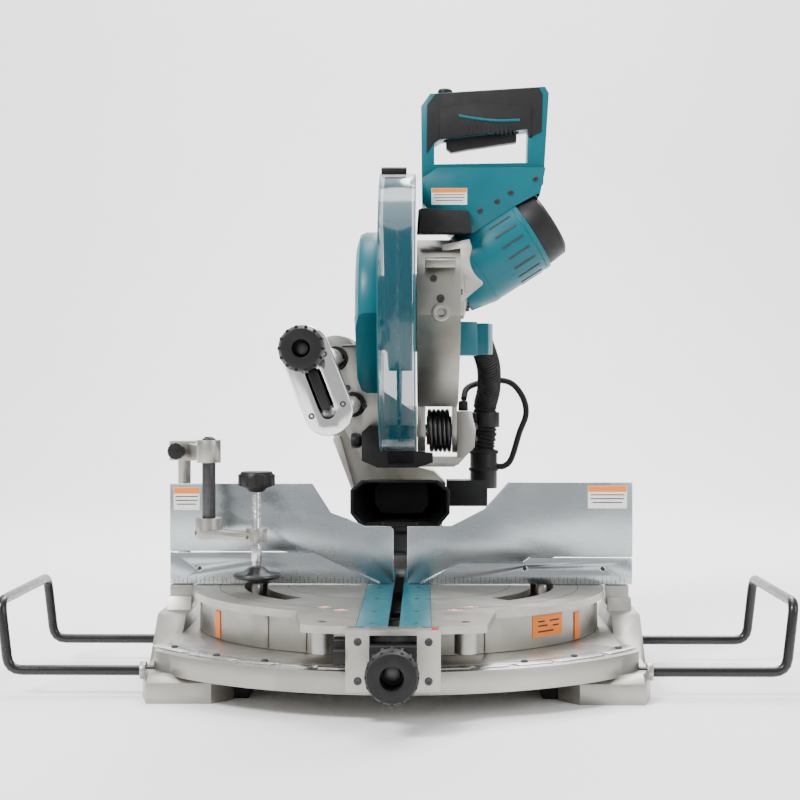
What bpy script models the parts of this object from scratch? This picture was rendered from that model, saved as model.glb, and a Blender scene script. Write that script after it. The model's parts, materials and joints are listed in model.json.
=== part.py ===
"""Sliding compound miter saw, 305 mm blade, as separate solids on one set of joint axes.

Metres, +Z up, X to the right of the person standing at the front, Y away from that person.
The origin is the turntable's axis at bench level; the fence's working face is the plane y = 0.
"""
from math import asin, cos, degrees, pi, radians, sin

import bmesh
import bpy
from mathutils import Matrix, Vector

# ---- driving dimensions ------------------------------------------------------------------
GAP = 0.0003                  # clearance kept between touching pieces
BLADE_R = 0.1525              # 12-inch blade
BLADE_T = 0.0024
TABLE_Z = 0.092               # top of the turntable
FLANGE_Z = 0.048              # top of the base's front flange, which carries the detents
APRON_Z = 0.026               # lower edge of the base plate
APRON_R = 0.315               # outer radius of the base's front arc
RIM_R = 0.234                 # rim of the turntable's top
DRUM_R = 0.227                # the turntable's wall
TOP_T = 0.008                 # thickness of the turntable's top
NOSE_R = 0.318                # front edge of the turntable's nose
NOSE_HALF = 0.045             # half width of the frame that closes the nose
FRAME_Z = 0.0325              # underside of that frame, clear of the extension rods
SLOT_IN, SLOT_OUT = 0.151, 0.177   # arc slots that let the fence posts through
POST_X, POST_Y, POST_R = 0.1655, 0.010, 0.0075
MITER_MAX = 46.0              # degrees the turntable turns each way
KERF_HALF = 0.0055            # half width of the saw slot between the kerf boards
BOARD_HALF = 0.036            # outer edge of the kerf boards
BOARD_T = 0.004
BOARD_Y = (-0.3165, 0.150)
BASE_HALF = 0.250             # half width across the base's sides
TOWER_IN, TOWER_OUT = 0.238, 0.266
FENCE_T = 0.004               # fixed fence plates
UPPER_T = 0.008               # sliding fence plates, one gap behind the fixed ones
FENCE_END = 0.264
LEFT_TOP, RIGHT_TOP = 0.129, 0.123
UPPER_TOP = 0.208

BEVEL = (0.0, 0.0, TABLE_Z)           # tilt axis, along Y through the kerf at table level
RAIL_HIGH = (-0.085, 0.356)           # (x, z) of the two slide rails
RAIL_LOW = (-0.062, 0.297)
RAIL_R = 0.011
RAIL_FRONT, RAIL_REAR = -0.298, 0.385
HOUSING_Y = (-0.325, -0.293)          # cap that joins the rails at the front
ARM_Y = (0.312, 0.372)                # the tilting arm casting behind the table
PIVOT = (0.0, 0.250, 0.2625)          # chop hinge, along X
ARBOR = (0.0, 0.050, 0.407)           # blade axis with the head up
CARRIAGE_Y = (0.215, 0.296)
GUARD_R = 0.163
GUARD_X = (-0.0215, 0.019)
GUARD_HUB_R = 0.050
CASE_R = 0.159
CASE_X = (-0.0165, 0.0140)
SHELL = 0.0022                        # wall of plastic and pressed covers

BAR_R = 0.0053                        # extension rods
BAR_Y = (-0.188, 0.016)
BAR_Z = 0.0265
BAR_X = (0.225, 0.402)
BAR_TOP = 0.098

VISE_REAR = (-0.2545, 0.047)          # (x, y) of the vise's post behind the fence
VISE_FRONT = (-0.214, -0.038)
VISE_SCREW = (-0.156, -0.076)

SIDES = 32                            # facets round a large piece

# ---- materials ---------------------------------------------------------------------------
PALETTE = {
    "cast_alloy": ((0.46, 0.45, 0.42), 0.42, 0.85),
    "machined_alloy": ((0.52, 0.56, 0.59), 0.28, 0.95),
    "steel": ((0.60, 0.60, 0.60), 0.22, 1.0),
    "dark_steel": ((0.13, 0.13, 0.14), 0.40, 0.9),
    "chrome": ((0.75, 0.75, 0.74), 0.12, 1.0),
    "black_plastic": ((0.020, 0.020, 0.022), 0.45, 0.0),
    "black_rubber": ((0.015, 0.015, 0.016), 0.75, 0.0),
    "black_rod": ((0.012, 0.012, 0.013), 0.35, 0.3),
    "teal_plastic": ((0.0, 0.19, 0.24), 0.38, 0.0),
    "clear_teal": ((0.0, 0.27, 0.33), 0.10, 0.0),
    "copper": ((0.60, 0.25, 0.12), 0.35, 1.0),
}


def make_materials():
    """One Principled material for each entry of the palette."""
    made = {}
    for name, (colour, roughness, metallic) in PALETTE.items():
        mat = bpy.data.materials.new(name)
        mat.use_nodes = True
        shader = mat.node_tree.nodes["Principled BSDF"]
        shader.inputs["Base Color"].default_value = (*colour, 1.0)
        shader.inputs["Roughness"].default_value = roughness
        shader.inputs["Metallic"].default_value = metallic
        made[name] = mat
    return made


def clear_scene():
    for obj in list(bpy.data.objects):
        bpy.data.objects.remove(obj)


# ---- solids ------------------------------------------------------------------------------
def finished(bm):
    """Close off a bmesh: outward faces, returned as a loose mesh object."""
    bmesh.ops.recalc_face_normals(bm, faces=bm.faces)
    mesh = bpy.data.meshes.new("solid")
    bm.to_mesh(mesh)
    bm.free()
    obj = bpy.data.objects.new("solid", mesh)
    bpy.context.scene.collection.objects.link(obj)
    return obj


def place(axis, a, b, along):
    """A point from two coordinates across an axis and one along it."""
    if axis == "X":
        return Vector((along, a, b))
    if axis == "Y":
        return Vector((a, along, b))
    return Vector((a, b, along))


def extruded(axis, outline, low, high):
    """An outline across an axis, (y, z), (x, z) or (x, y), pushed from low to high."""
    bm = bmesh.new()
    bottom = [bm.verts.new(place(axis, a, b, low)) for a, b in outline]
    top = [bm.verts.new(place(axis, a, b, high)) for a, b in outline]
    bm.faces.new(bottom)
    bm.faces.new(reversed(top))
    count = len(outline)
    for i in range(count):
        j = (i + 1) % count
        bm.faces.new((bottom[i], top[i], top[j], bottom[j]))
    return finished(bm)


def box(x, y, z):
    return extruded("Z", [(x[0], y[0]), (x[1], y[0]), (x[1], y[1]), (x[0], y[1])], z[0], z[1])


def turned(axis, centre, profile, sides=SIDES, start=0.0):
    """A closed profile of (radius, along) turned about a line; a point on the axis caps the end flat."""
    bm = bmesh.new()
    others = [i for i in range(3) if i != "XYZ".index(axis)]
    a0, b0 = centre[others[0]], centre[others[1]]
    rings = []
    for radius, along in profile:
        if radius < 1e-7:
            rings.append([])
            continue
        angles = [start + 2 * pi * k / sides for k in range(sides)]
        rings.append([bm.verts.new(place(axis, a0 + radius * cos(t), b0 + radius * sin(t), along))
                      for t in angles])
    for here, there in zip(rings, rings[1:] + rings[:1]):
        if not here and not there:
            continue
        if not here or not there:
            bm.faces.new(here or there)
            continue
        for k in range(sides):
            n = (k + 1) % sides
            bm.faces.new((here[k], here[n], there[n], there[k]))
    return finished(bm)


def disc(axis, centre, radius, low, high, sides=SIDES):
    return turned(axis, centre, [(0, low), (radius, low), (radius, high), (0, high)], sides)


def ring(axis, centre, inner, outer, low, high, sides=SIDES):
    return turned(axis, centre, [(inner, low), (outer, low), (outer, high), (inner, high)], sides)


def rod(start, end, radius, sides=16):
    """A round bar between two points."""
    start, end = Vector(start), Vector(end)
    line = end - start
    obj = disc("Z", (0, 0, 0), radius, 0.0, line.length, sides)
    obj.data.transform(Matrix.Translation(start) @ line.to_track_quat("Z", "Y").to_matrix().to_4x4())
    return obj


def hull(points):
    """The convex solid round a few points."""
    bm = bmesh.new()
    for point in points:
        bm.verts.new(point)
    result = bmesh.ops.convex_hull(bm, input=bm.verts)
    loose = [v for v in result["geom_interior"] if isinstance(v, bmesh.types.BMVert)]
    bmesh.ops.delete(bm, geom=loose, context="VERTS")
    bmesh.ops.dissolve_limit(bm, angle_limit=radians(0.5), verts=bm.verts, edges=bm.edges)
    return finished(bm)


def arc(centre, radius, start, end, steps):
    """Points on an arc, angles in degrees counter-clockwise from the first coordinate."""
    turn = [radians(start + (end - start) * k / steps) for k in range(steps + 1)]
    return [(centre[0] + radius * cos(t), centre[1] + radius * sin(t)) for t in turn]


def swept(path, radius, sides=10):
    """A bent round bar: a curve with a round bevel and filled caps, turned into a mesh."""
    curve = bpy.data.curves.new("bar", "CURVE")
    curve.dimensions = "3D"
    curve.bevel_depth = radius
    curve.bevel_resolution = max(0, sides // 2 - 2)
    curve.use_fill_caps = True
    spline = curve.splines.new("POLY")
    spline.points.add(len(path) - 1)
    for point, where in zip(spline.points, path):
        point.co = (*where, 1.0)
    guide = bpy.data.objects.new("bar", curve)
    bpy.context.scene.collection.objects.link(guide)
    mesh = bpy.data.meshes.new_from_object(guide.evaluated_get(bpy.context.evaluated_depsgraph_get()))
    bpy.data.objects.remove(guide)
    bm = bmesh.new()
    bm.from_mesh(mesh)
    bmesh.ops.remove_doubles(bm, verts=bm.verts, dist=1e-6)
    return finished(bm)


def rounded_path(corners, radius, steps=4):
    """A polyline with each inner corner rounded off."""
    corners = [Vector(c) for c in corners]
    path = [corners[0]]
    for before, corner, after in zip(corners, corners[1:], corners[2:]):
        into = corner + (before - corner).normalized() * radius
        out = corner + (after - corner).normalized() * radius
        for k in range(steps + 1):
            t = k / steps
            path.append(into * (1 - t) ** 2 + corner * 2 * t * (1 - t) + out * t ** 2)
    path.append(corners[-1])
    return path


def smooth_path(points, step):
    """A smooth curve through the points, cut into even steps."""
    points = [Vector(p) for p in points]
    points = [2 * points[0] - points[1]] + points + [2 * points[-1] - points[-2]]
    fine = []
    for p0, p1, p2, p3 in zip(points, points[1:], points[2:], points[3:]):
        for k in range(24):
            t = k / 24
            fine.append(0.5 * (2 * p1 + (p2 - p0) * t + (2 * p0 - 5 * p1 + 4 * p2 - p3) * t * t
                               + (3 * p1 - p0 - 3 * p2 + p3) * t ** 3))
    fine.append(points[-2])
    path, run = [fine[0]], 0.0
    for a, b in zip(fine, fine[1:]):
        run += (b - a).length
        if run >= step:
            path.append(b)
            run = 0.0
    if (path[-1] - fine[-1]).length < step * 0.4:
        path.pop()
    path.append(fine[-1])
    return path


def merged(adds, cuts=()):
    """Union of the first list less the second, as one loose solid; the operands are used up."""
    base = adds[0]
    used = list(adds[1:]) + list(cuts)
    for kind, pieces in (("UNION", adds[1:]), ("DIFFERENCE", cuts)):
        for piece in pieces:
            boolean = base.modifiers.new(kind.lower(), "BOOLEAN")
            boolean.operation = kind
            boolean.solver = "EXACT"
            boolean.object = piece
    deps = bpy.context.evaluated_depsgraph_get()
    mesh = bpy.data.meshes.new_from_object(base.evaluated_get(deps))
    bm = bmesh.new()
    bm.from_mesh(mesh)
    bmesh.ops.remove_doubles(bm, verts=bm.verts, dist=2e-6)
    bmesh.ops.dissolve_limit(bm, angle_limit=radians(0.2), verts=bm.verts, edges=bm.edges)
    for obj in [base] + used:
        bpy.data.objects.remove(obj)
    return finished(bm)


class Kit:
    """Names the solids, gives each its material and hangs it on its body's axis."""

    def __init__(self):
        self.materials = make_materials()
        self.pivots = {}

    def pivot(self, body, where):
        empty = bpy.data.objects.new("axis_" + body, None)
        empty.location = where
        bpy.context.scene.collection.objects.link(empty)
        self.pivots[body] = empty

    def add(self, name, body, mat, adds, cuts=()):
        solid = merged(adds, cuts) if len(adds) > 1 or cuts else adds[0]
        solid.name = name
        solid.data.name = name
        solid.data.materials.clear()
        solid.data.materials.append(self.materials[mat])
        solid.data.shade_smooth()
        solid.data.set_sharp_from_angle(angle=radians(32))
        if body in self.pivots:
            empty = self.pivots[body]
            solid.data.transform(Matrix.Translation(-empty.location))
            solid.parent = empty
        return solid


def mirrored(points):
    return [(-x, y) for x, y in reversed(points)]


# ---- base --------------------------------------------------------------------------------
def make_base(kit):
    front = 90 - degrees(asin(BASE_HALF / APRON_R))
    outline = arc((0, 0), APRON_R, -180 + front, -front, 14)
    outline += [(BASE_HALF, 0.150)] + arc((0, 0), 0.285, 38, 142, 8) + [(-BASE_HALF, 0.150)]
    adds = [extruded("Z", outline, APRON_Z, FLANGE_Z)]
    adds.append(disc("Z", (0, 0, 0), 0.055, 0.0, APRON_Z + 0.002, 24))
    cuts = []
    for side in (-1, 1):
        x_in, x_out = side * 0.186, side * 0.2520
        foot = [(x_in, -0.229), (x_out, -0.229), (side * 0.262, -0.190), (side * 0.262, -0.070),
                (side * 0.168, -0.110), (side * 0.166, -0.205)]
        low = [(x, y, z) for x, y in foot for z in (0.0, 0.021)]
        crown = [(x * 0.995, y + 0.012 if y < -0.2 else y, 0.029) for x, y in foot]
        adds.append(hull(low + crown))
        adds.append(hull([(side * x, y, z) for x, y, z in (
            (0.236, -0.130, 0.020), (0.266, -0.130, 0.020), (0.238, -0.052, 0.064),
            (0.2715, -0.040, 0.064), (0.2715, 0.074, 0.064), (0.238, 0.074, 0.064),
            (0.274, -0.045, 0.0), (0.274, 0.074, 0.0), (0.234, 0.074, 0.0), (0.236, -0.06, 0.0))]))
        adds.append(hull([(side * x, y, z) for x in (TOWER_IN + 0.001, TOWER_OUT)
                          for y, z in ((-0.012, 0.06), (0.060, 0.06), (-0.004, 0.0785),
                                       (0.056, 0.0785))]))
        adds.append(box(sorted((side * TOWER_IN, side * (TOWER_OUT - 0.002))), (0.0, 0.040),
                        (0.07, TABLE_Z - 0.0005)))
        rear = [(side * 0.160, 0.175), (side * 0.262, 0.120), (side * 0.262, 0.205),
                (side * 0.180, 0.215)]
        adds.append(hull([(x, y, z) for x, y in rear for z in (0.0, 0.030)]))
        cuts.append(disc("Z", (side * 0.232, -0.165, 0), 0.0045, -0.01, 0.08, 16))
        cuts.append(turned("Z", (side * 0.232, -0.165, 0),
                           [(0, 0.016), (0.007, 0.016), (0.0145, 0.032), (0, 0.032)], 20))
        cuts.append(disc("Z", (side * 0.225, 0.165, 0), 0.0045, -0.01, 0.08, 16))
        for y in BAR_Y:
            bore = sorted((side * 0.055, side * 0.30))
            cuts.append(disc("X", (0, y, BAR_Z), BAR_R + GAP, *bore, 14))
    cuts.append(disc("Z", (0, 0, 0), 0.0083, 0.012, 0.06, 16))
    cuts.append(disc("Z", (0, 0, 0), 0.030, APRON_Z + 0.012, 0.06, 24))
    cuts.append(disc("Z", (0, 0, 0), DRUM_R + 0.004, FLANGE_Z + 0.0002, 0.2, 48))
    posts = [disc("Z", (side * POST_X, POST_Y, 0), POST_R, APRON_Z + 0.008, TABLE_Z + 0.0006, 16)
             for side in (-1, 1)]
    kit.add("base_casting", "base", "cast_alloy", [merged(adds, cuts)] + posts)


def make_fences(kit):
    bottom = TABLE_Z + 0.0009
    left = [(-FENCE_END, bottom), (-0.0215, bottom), (-0.0985, LEFT_TOP), (-FENCE_END, LEFT_TOP)]
    right = [(0.0245, bottom), (FENCE_END + 0.004, bottom), (FENCE_END + 0.004, RIGHT_TOP),
             (0.151, RIGHT_TOP), (0.143, 0.1167), (0.070, 0.1167)]
    holes = {"left": [(-0.2305, 0.1103)], "right": [(0.145, 0.1105), (0.2345, 0.1105)]}
    for word, side, outline in (("left", -1, left), ("right", 1, right)):
        plate = extruded("Y", outline, 0.0, FENCE_T)
        sole = box(sorted((side * 0.172, side * FENCE_END)), (0.001, 0.044), (bottom, bottom + 0.006))
        rib = hull([(side * x, y, z) for x in (0.250, 0.258)
                    for y, z in ((0.002, bottom + 0.002), (0.042, bottom + 0.002), (0.002, 0.118))])
        tab = box(sorted((side * (POST_X - 0.008), side * 0.180)), (0.001, 0.018),
                  (bottom, bottom + 0.003))
        cuts = [disc("Y", (x, 0, z), 0.003, -0.01, 0.02, 12) for x, z in holes[word]]
        if side < 0:
            cuts.append(disc("Z", (*VISE_REAR, 0), 0.0085, 0.08, 0.2, 12))
        kit.add(f"fixed_fence_{word}", "base", "machined_alloy", [plate, sole, rib, tab], cuts)
    y0, y1 = FENCE_T + GAP, FENCE_T + GAP + UPPER_T
    low = TABLE_Z + 0.0015
    upper_left = [(-0.265, UPPER_TOP), (-0.265, LEFT_TOP + 0.0008), (-0.135, LEFT_TOP + 0.0008),
                  (-0.100, LEFT_TOP - 0.004), (-0.045, low), (-0.0065, low), (-0.0065, 0.155),
                  (-0.010, 0.1588), (-0.040, 0.1588), (-0.057, 0.166), (-0.079, 0.174),
                  (-0.1006, UPPER_TOP)]
    upper_right = [(0.269, UPPER_TOP + 0.002), (0.269, RIGHT_TOP + 0.0008),
                   (0.180, RIGHT_TOP + 0.0008), (0.143, 0.112), (0.080, 0.112), (0.048, low),
                   (0.0096, low), (0.0096, 0.1588), (0.0605, 0.1588), (0.0985, 0.1786),
                   (0.1266, UPPER_TOP + 0.002)]
    for word, side, outline in (("left", -1, upper_left), ("right", 1, upper_right)):
        plate = extruded("Y", outline, y0, y1)
        guide = box(sorted((side * 0.145, side * 0.240)), (y1 - 0.001, y1 + 0.007), (0.150, 0.162))
        kit.add(f"sliding_fence_{word}", f"sliding_fence_{word}", "machined_alloy", [plate, guide])


def make_extension_bars(kit):
    for side, word in ((-1, "left"), (1, "right")):
        lean = 0.008
        corners = [(side * BAR_X[0], BAR_Y[0], BAR_Z), (side * BAR_X[1], BAR_Y[0], BAR_Z),
                   (side * (BAR_X[1] + lean), BAR_Y[0], BAR_TOP),
                   (side * (BAR_X[1] + lean), BAR_Y[1], BAR_TOP),
                   (side * BAR_X[1], BAR_Y[1], BAR_Z), (side * BAR_X[0], BAR_Y[1], BAR_Z)]
        corners[0] = (side * 0.150, BAR_Y[0], BAR_Z)
        corners[-1] = (side * 0.150, BAR_Y[1], BAR_Z)
        bar = swept(rounded_path(corners, 0.014, 4), BAR_R, 10)
        kit.add(f"extension_bar_{word}", f"extension_bar_{word}", "black_rod", [bar])


def make_vise(kit):
    rx, ry = VISE_REAR
    fx, fy = VISE_FRONT
    sx, sy = VISE_SCREW
    post = disc("Z", (rx, ry, 0), 0.0075, TABLE_Z + 0.0075, 0.2400, 16)
    bracket = hull([(x, y, z) for x, y in ((rx - 0.016, ry - 0.012), (rx + 0.014, ry - 0.014),
                                          (rx + 0.014, ry + 0.014), (rx - 0.016, ry + 0.014))
                    for z in (0.2333, 0.2560)])
    bridge = hull([(x, y, z) for x, y in ((rx + 0.004, ry - 0.010), (rx + 0.013, ry + 0.004),
                                         (fx + 0.011, fy - 0.009), (fx - 0.010, fy - 0.011))
                   for z in (0.2375, 0.2535)])
    collar = disc("Z", (fx, fy, 0), 0.0135, 0.2345, 0.2600, 20)
    kit.add("vise_bracket", "vise", "cast_alloy", [bracket, post, bridge, collar],
            [disc("Z", (fx, fy, 0), 0.0075 + GAP, 0.22, 0.28, 16)])
    kit.add("vise_front_post", "vise", "dark_steel",
            [disc("Z", (fx, fy, 0), 0.0075, 0.1485, 0.2620, 16)])
    arm_side = [(fx, fy + 0.014), (fx - 0.014, fy), (fx - 0.008, fy - 0.014),
                (sx - 0.006, sy - 0.013), (sx + 0.012, sy - 0.006), (sx + 0.010, sy + 0.008)]
    arm = hull([(x, y, z) for x, y in arm_side for z in (0.1500, 0.1590)])
    boss = disc("Z", (fx, fy, 0), 0.0150, 0.1490, 0.1720, 20)
    tip = disc("Z", (sx, sy, 0), 0.0115, 0.1490, 0.1640, 20)
    kit.add("vise_arm", "vise", "cast_alloy", [arm, boss, tip],
            [disc("Z", (fx, fy, 0), 0.0075 + GAP, 0.14, 0.18, 16),
             disc("Z", (sx, sy, 0), 0.0047 + GAP, 0.14, 0.18, 16)])
    head = turned("Y", (rx - 0.0055, 0, 0.2450), [(0, ry - 0.0144), (0.005, ry - 0.0144),
                                                  (0.005, ry - 0.019), (0.0095, ry - 0.021),
                                                  (0.0095, ry - 0.033), (0, ry - 0.033)], 14)
    kit.add("vise_clamp_knob", "vise_clamp", "black_plastic", [head])
    screw = disc("Z", (sx, sy, 0), 0.0047, 0.1215, 0.2040, 14)
    nut = disc("Z", (sx, sy, 0), 0.0060, 0.1270, 0.1450, 12)
    kit.add("vise_screw", "vise_screw", "steel", [screw, nut])
    knob = turned("Z", (sx, sy, 0), [(0, 0.2043), (0.008, 0.2043), (0.0110, 0.2080),
                                     (0.0190, 0.2110), (0.0200, 0.2200), (0.0170, 0.2265),
                                     (0, 0.2275)], 18)
    kit.add("vise_knob", "vise_knob", "black_plastic", [knob])
    pad = turned("Z", (sx, sy, 0), [(0, 0.1085), (0.0240, 0.1085), (0.0262, 0.1105),
                                    (0.0255, 0.1135), (0.0150, 0.1150), (0.0080, 0.1212),
                                    (0, 0.1212)], 24)
    kit.add("vise_pad", "vise_screw", "dark_steel", [pad])


# ---- turntable ---------------------------------------------------------------------------
def slot_cut(side):
    """The arc slot that a fence post passes through over the whole miter range."""
    mid = (SLOT_IN + SLOT_OUT) / 2
    half = (SLOT_OUT - SLOT_IN) / 2
    post = -90 + side * 93.5
    start, end = post - MITER_MAX - 5, post + MITER_MAX + 5
    outline = arc((0, 0), mid + half, start, end, 14) + arc((0, 0), mid - half, end, start, 14)
    return extruded("Z", outline, FLANGE_Z + 0.0002, 0.12)


def make_turntable(kit):
    top = disc("Z", (0, 0, 0), RIM_R, TABLE_Z - TOP_T, TABLE_Z, 48)
    z0 = FLANGE_Z + 2 * GAP
    wall = ring("Z", (0, 0, 0), DRUM_R - 0.006, DRUM_R, z0, TABLE_Z - TOP_T + 0.001, 48)
    floor = ring("Z", (0, 0, 0), 0.0250, DRUM_R - 0.003, z0 + 0.0004, z0 + 0.006, 32)
    hub = ring("Z", (0, 0, 0), 0.0083, 0.0290, APRON_Z + 0.012 + GAP, z0 + 0.0075, 20)
    nose_side = [(-0.104, -0.195), (-0.090, -0.3025)]
    nose = nose_side + arc((0, 0), NOSE_R, -105, -75, 8) + mirrored(nose_side)
    plate = extruded("Z", nose, TABLE_Z - TOP_T + 0.0004, TABLE_Z)
    skirt_z = FLANGE_Z + 0.0045
    adds = [top, wall, floor, hub, plate]
    for side in (-1, 1):
        beam = [(side * 0.037, -0.215), (side * NOSE_HALF, -0.215), (side * NOSE_HALF, -0.3220),
                (side * 0.037, -0.3220)]
        adds.append(hull([(x, y, z) for x, y in beam for z in (skirt_z, TABLE_Z - 0.002)]))
        frame = [(side * 0.0225, -0.3330), (side * NOSE_HALF, -0.3330), (side * NOSE_HALF, -0.3170),
                 (side * 0.0225, -0.3170)]
        adds.append(hull([(x, y, z) for x, y in frame for z in (FRAME_Z, TABLE_Z - 0.001)]))
        adds.append(disc("Z", (side * 0.070, -0.2860, 0), 0.0115, 0.0620, TABLE_Z - 0.002, 16))
    adds.append(box((-0.0445, 0.0445), (-0.3330, -0.3170), (TABLE_Z - 0.006, TABLE_Z - 0.0010)))
    adds.append(box((-0.0445, 0.0445), (-0.3330, -0.3170), (FRAME_Z, FRAME_Z + 0.004)))
    tail = [(-0.050, 0.215), (0.050, 0.215), (0.050, 0.300), (-0.050, 0.300)]
    adds.append(hull([(x, y, z) for x, y in tail for z in (skirt_z, 0.089)]))
    adds.append(disc("Y", (0, 0, TABLE_Z), 0.042, 0.240, ARM_Y[0] - GAP, 32))
    cuts = [slot_cut(-1), slot_cut(1)]
    cuts.append(box((-BOARD_HALF - GAP, BOARD_HALF + GAP), (BOARD_Y[0] - GAP, BOARD_Y[1] + GAP),
                    (TABLE_Z - BOARD_T - GAP, 0.2)))
    cuts.append(box((-0.026, 0.026), (-0.306, 0.140), (0.0560, 0.2)))
    cuts.append(box((-0.033, 0.033), (-0.3165, -0.222), (0.0450, TABLE_Z - TOP_T)))
    cuts.append(disc("Y", (0, 0, TABLE_Z), 0.014 + GAP, 0.255, 0.34, 20))
    kit.add("turntable", "turntable", "cast_alloy", adds, cuts)
    for side, word in ((-1, "left"), (1, "right")):
        board = [(side * KERF_HALF, BOARD_Y[0]), (side * BOARD_HALF, BOARD_Y[0]),
                 (side * BOARD_HALF, BOARD_Y[1]), (side * KERF_HALF, BOARD_Y[1])]
        kit.add(f"kerf_board_{word}", "turntable", "teal_plastic",
                [extruded("Z", board, TABLE_Z - BOARD_T, TABLE_Z)])
    kit.add("miter_pivot_bolt", "base", "dark_steel",
            [disc("Z", (0, 0, 0), 0.0080, 0.0125, 0.0590, 16),
             disc("Z", (0, 0, 0), 0.0140, 0.0566, 0.0620, 6)])
    bracket = box((-0.0222, 0.0222), (-0.3480, -0.3165), (FRAME_Z + 0.0045, TABLE_Z - 0.0140))
    kit.add("grip_bracket", "turntable", "black_plastic", [bracket],
            [disc("Y", (0, 0, 0.057), 0.0070, -0.36, -0.29, 16)])
    y = -0.3483
    grip = turned("Y", (0, 0, 0.057), [(0, y), (0.0165, y), (0.0180, y - 0.010), (0.0235, y - 0.022),
                                       (0.0250, y - 0.040), (0.0225, y - 0.049), (0.0110, y - 0.049),
                                       (0.0110, y - 0.020), (0, y - 0.020)], 24)
    shank = rod((0, y - 0.002, 0.057), (0, -0.2300, 0.057), 0.006, 12)
    kit.add("miter_grip", "miter_grip", "black_plastic", [grip, shank])
    lever = hull([(x, yy, z) for x, yy in ((-0.056, -0.343), (-0.0455, -0.343), (-0.0455, -0.300),
                                          (-0.056, -0.318))
                  for z in (0.061, 0.0725)])
    stalk = box((-0.0570, -0.0456), (-0.325, -0.300), (0.056, 0.080))
    kit.add("detent_lever", "detent_lever", "black_plastic", [lever, stalk])


# ---- tilting arm, rails and dust hood ----------------------------------------------------
def obround(a, b, radius, y, steps=10):
    """A bar with round ends across the two rail centres, from y[0] to y[1]."""
    points = []
    for x, z in (a, b):
        points += [(px, py, pz) for px, pz in arc((x, z), radius, 0, 330, steps + 1) for py in y]
    return hull(points)


def between_rails(t, across=0.0):
    """A point on the line from the upper rail to the lower one, moved across it."""
    along = Vector(RAIL_LOW) - Vector(RAIL_HIGH)
    normal = Vector((-along.y, along.x)).normalized()
    point = Vector(RAIL_HIGH) + along * t + normal * across
    return (point.x, point.y)


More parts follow.
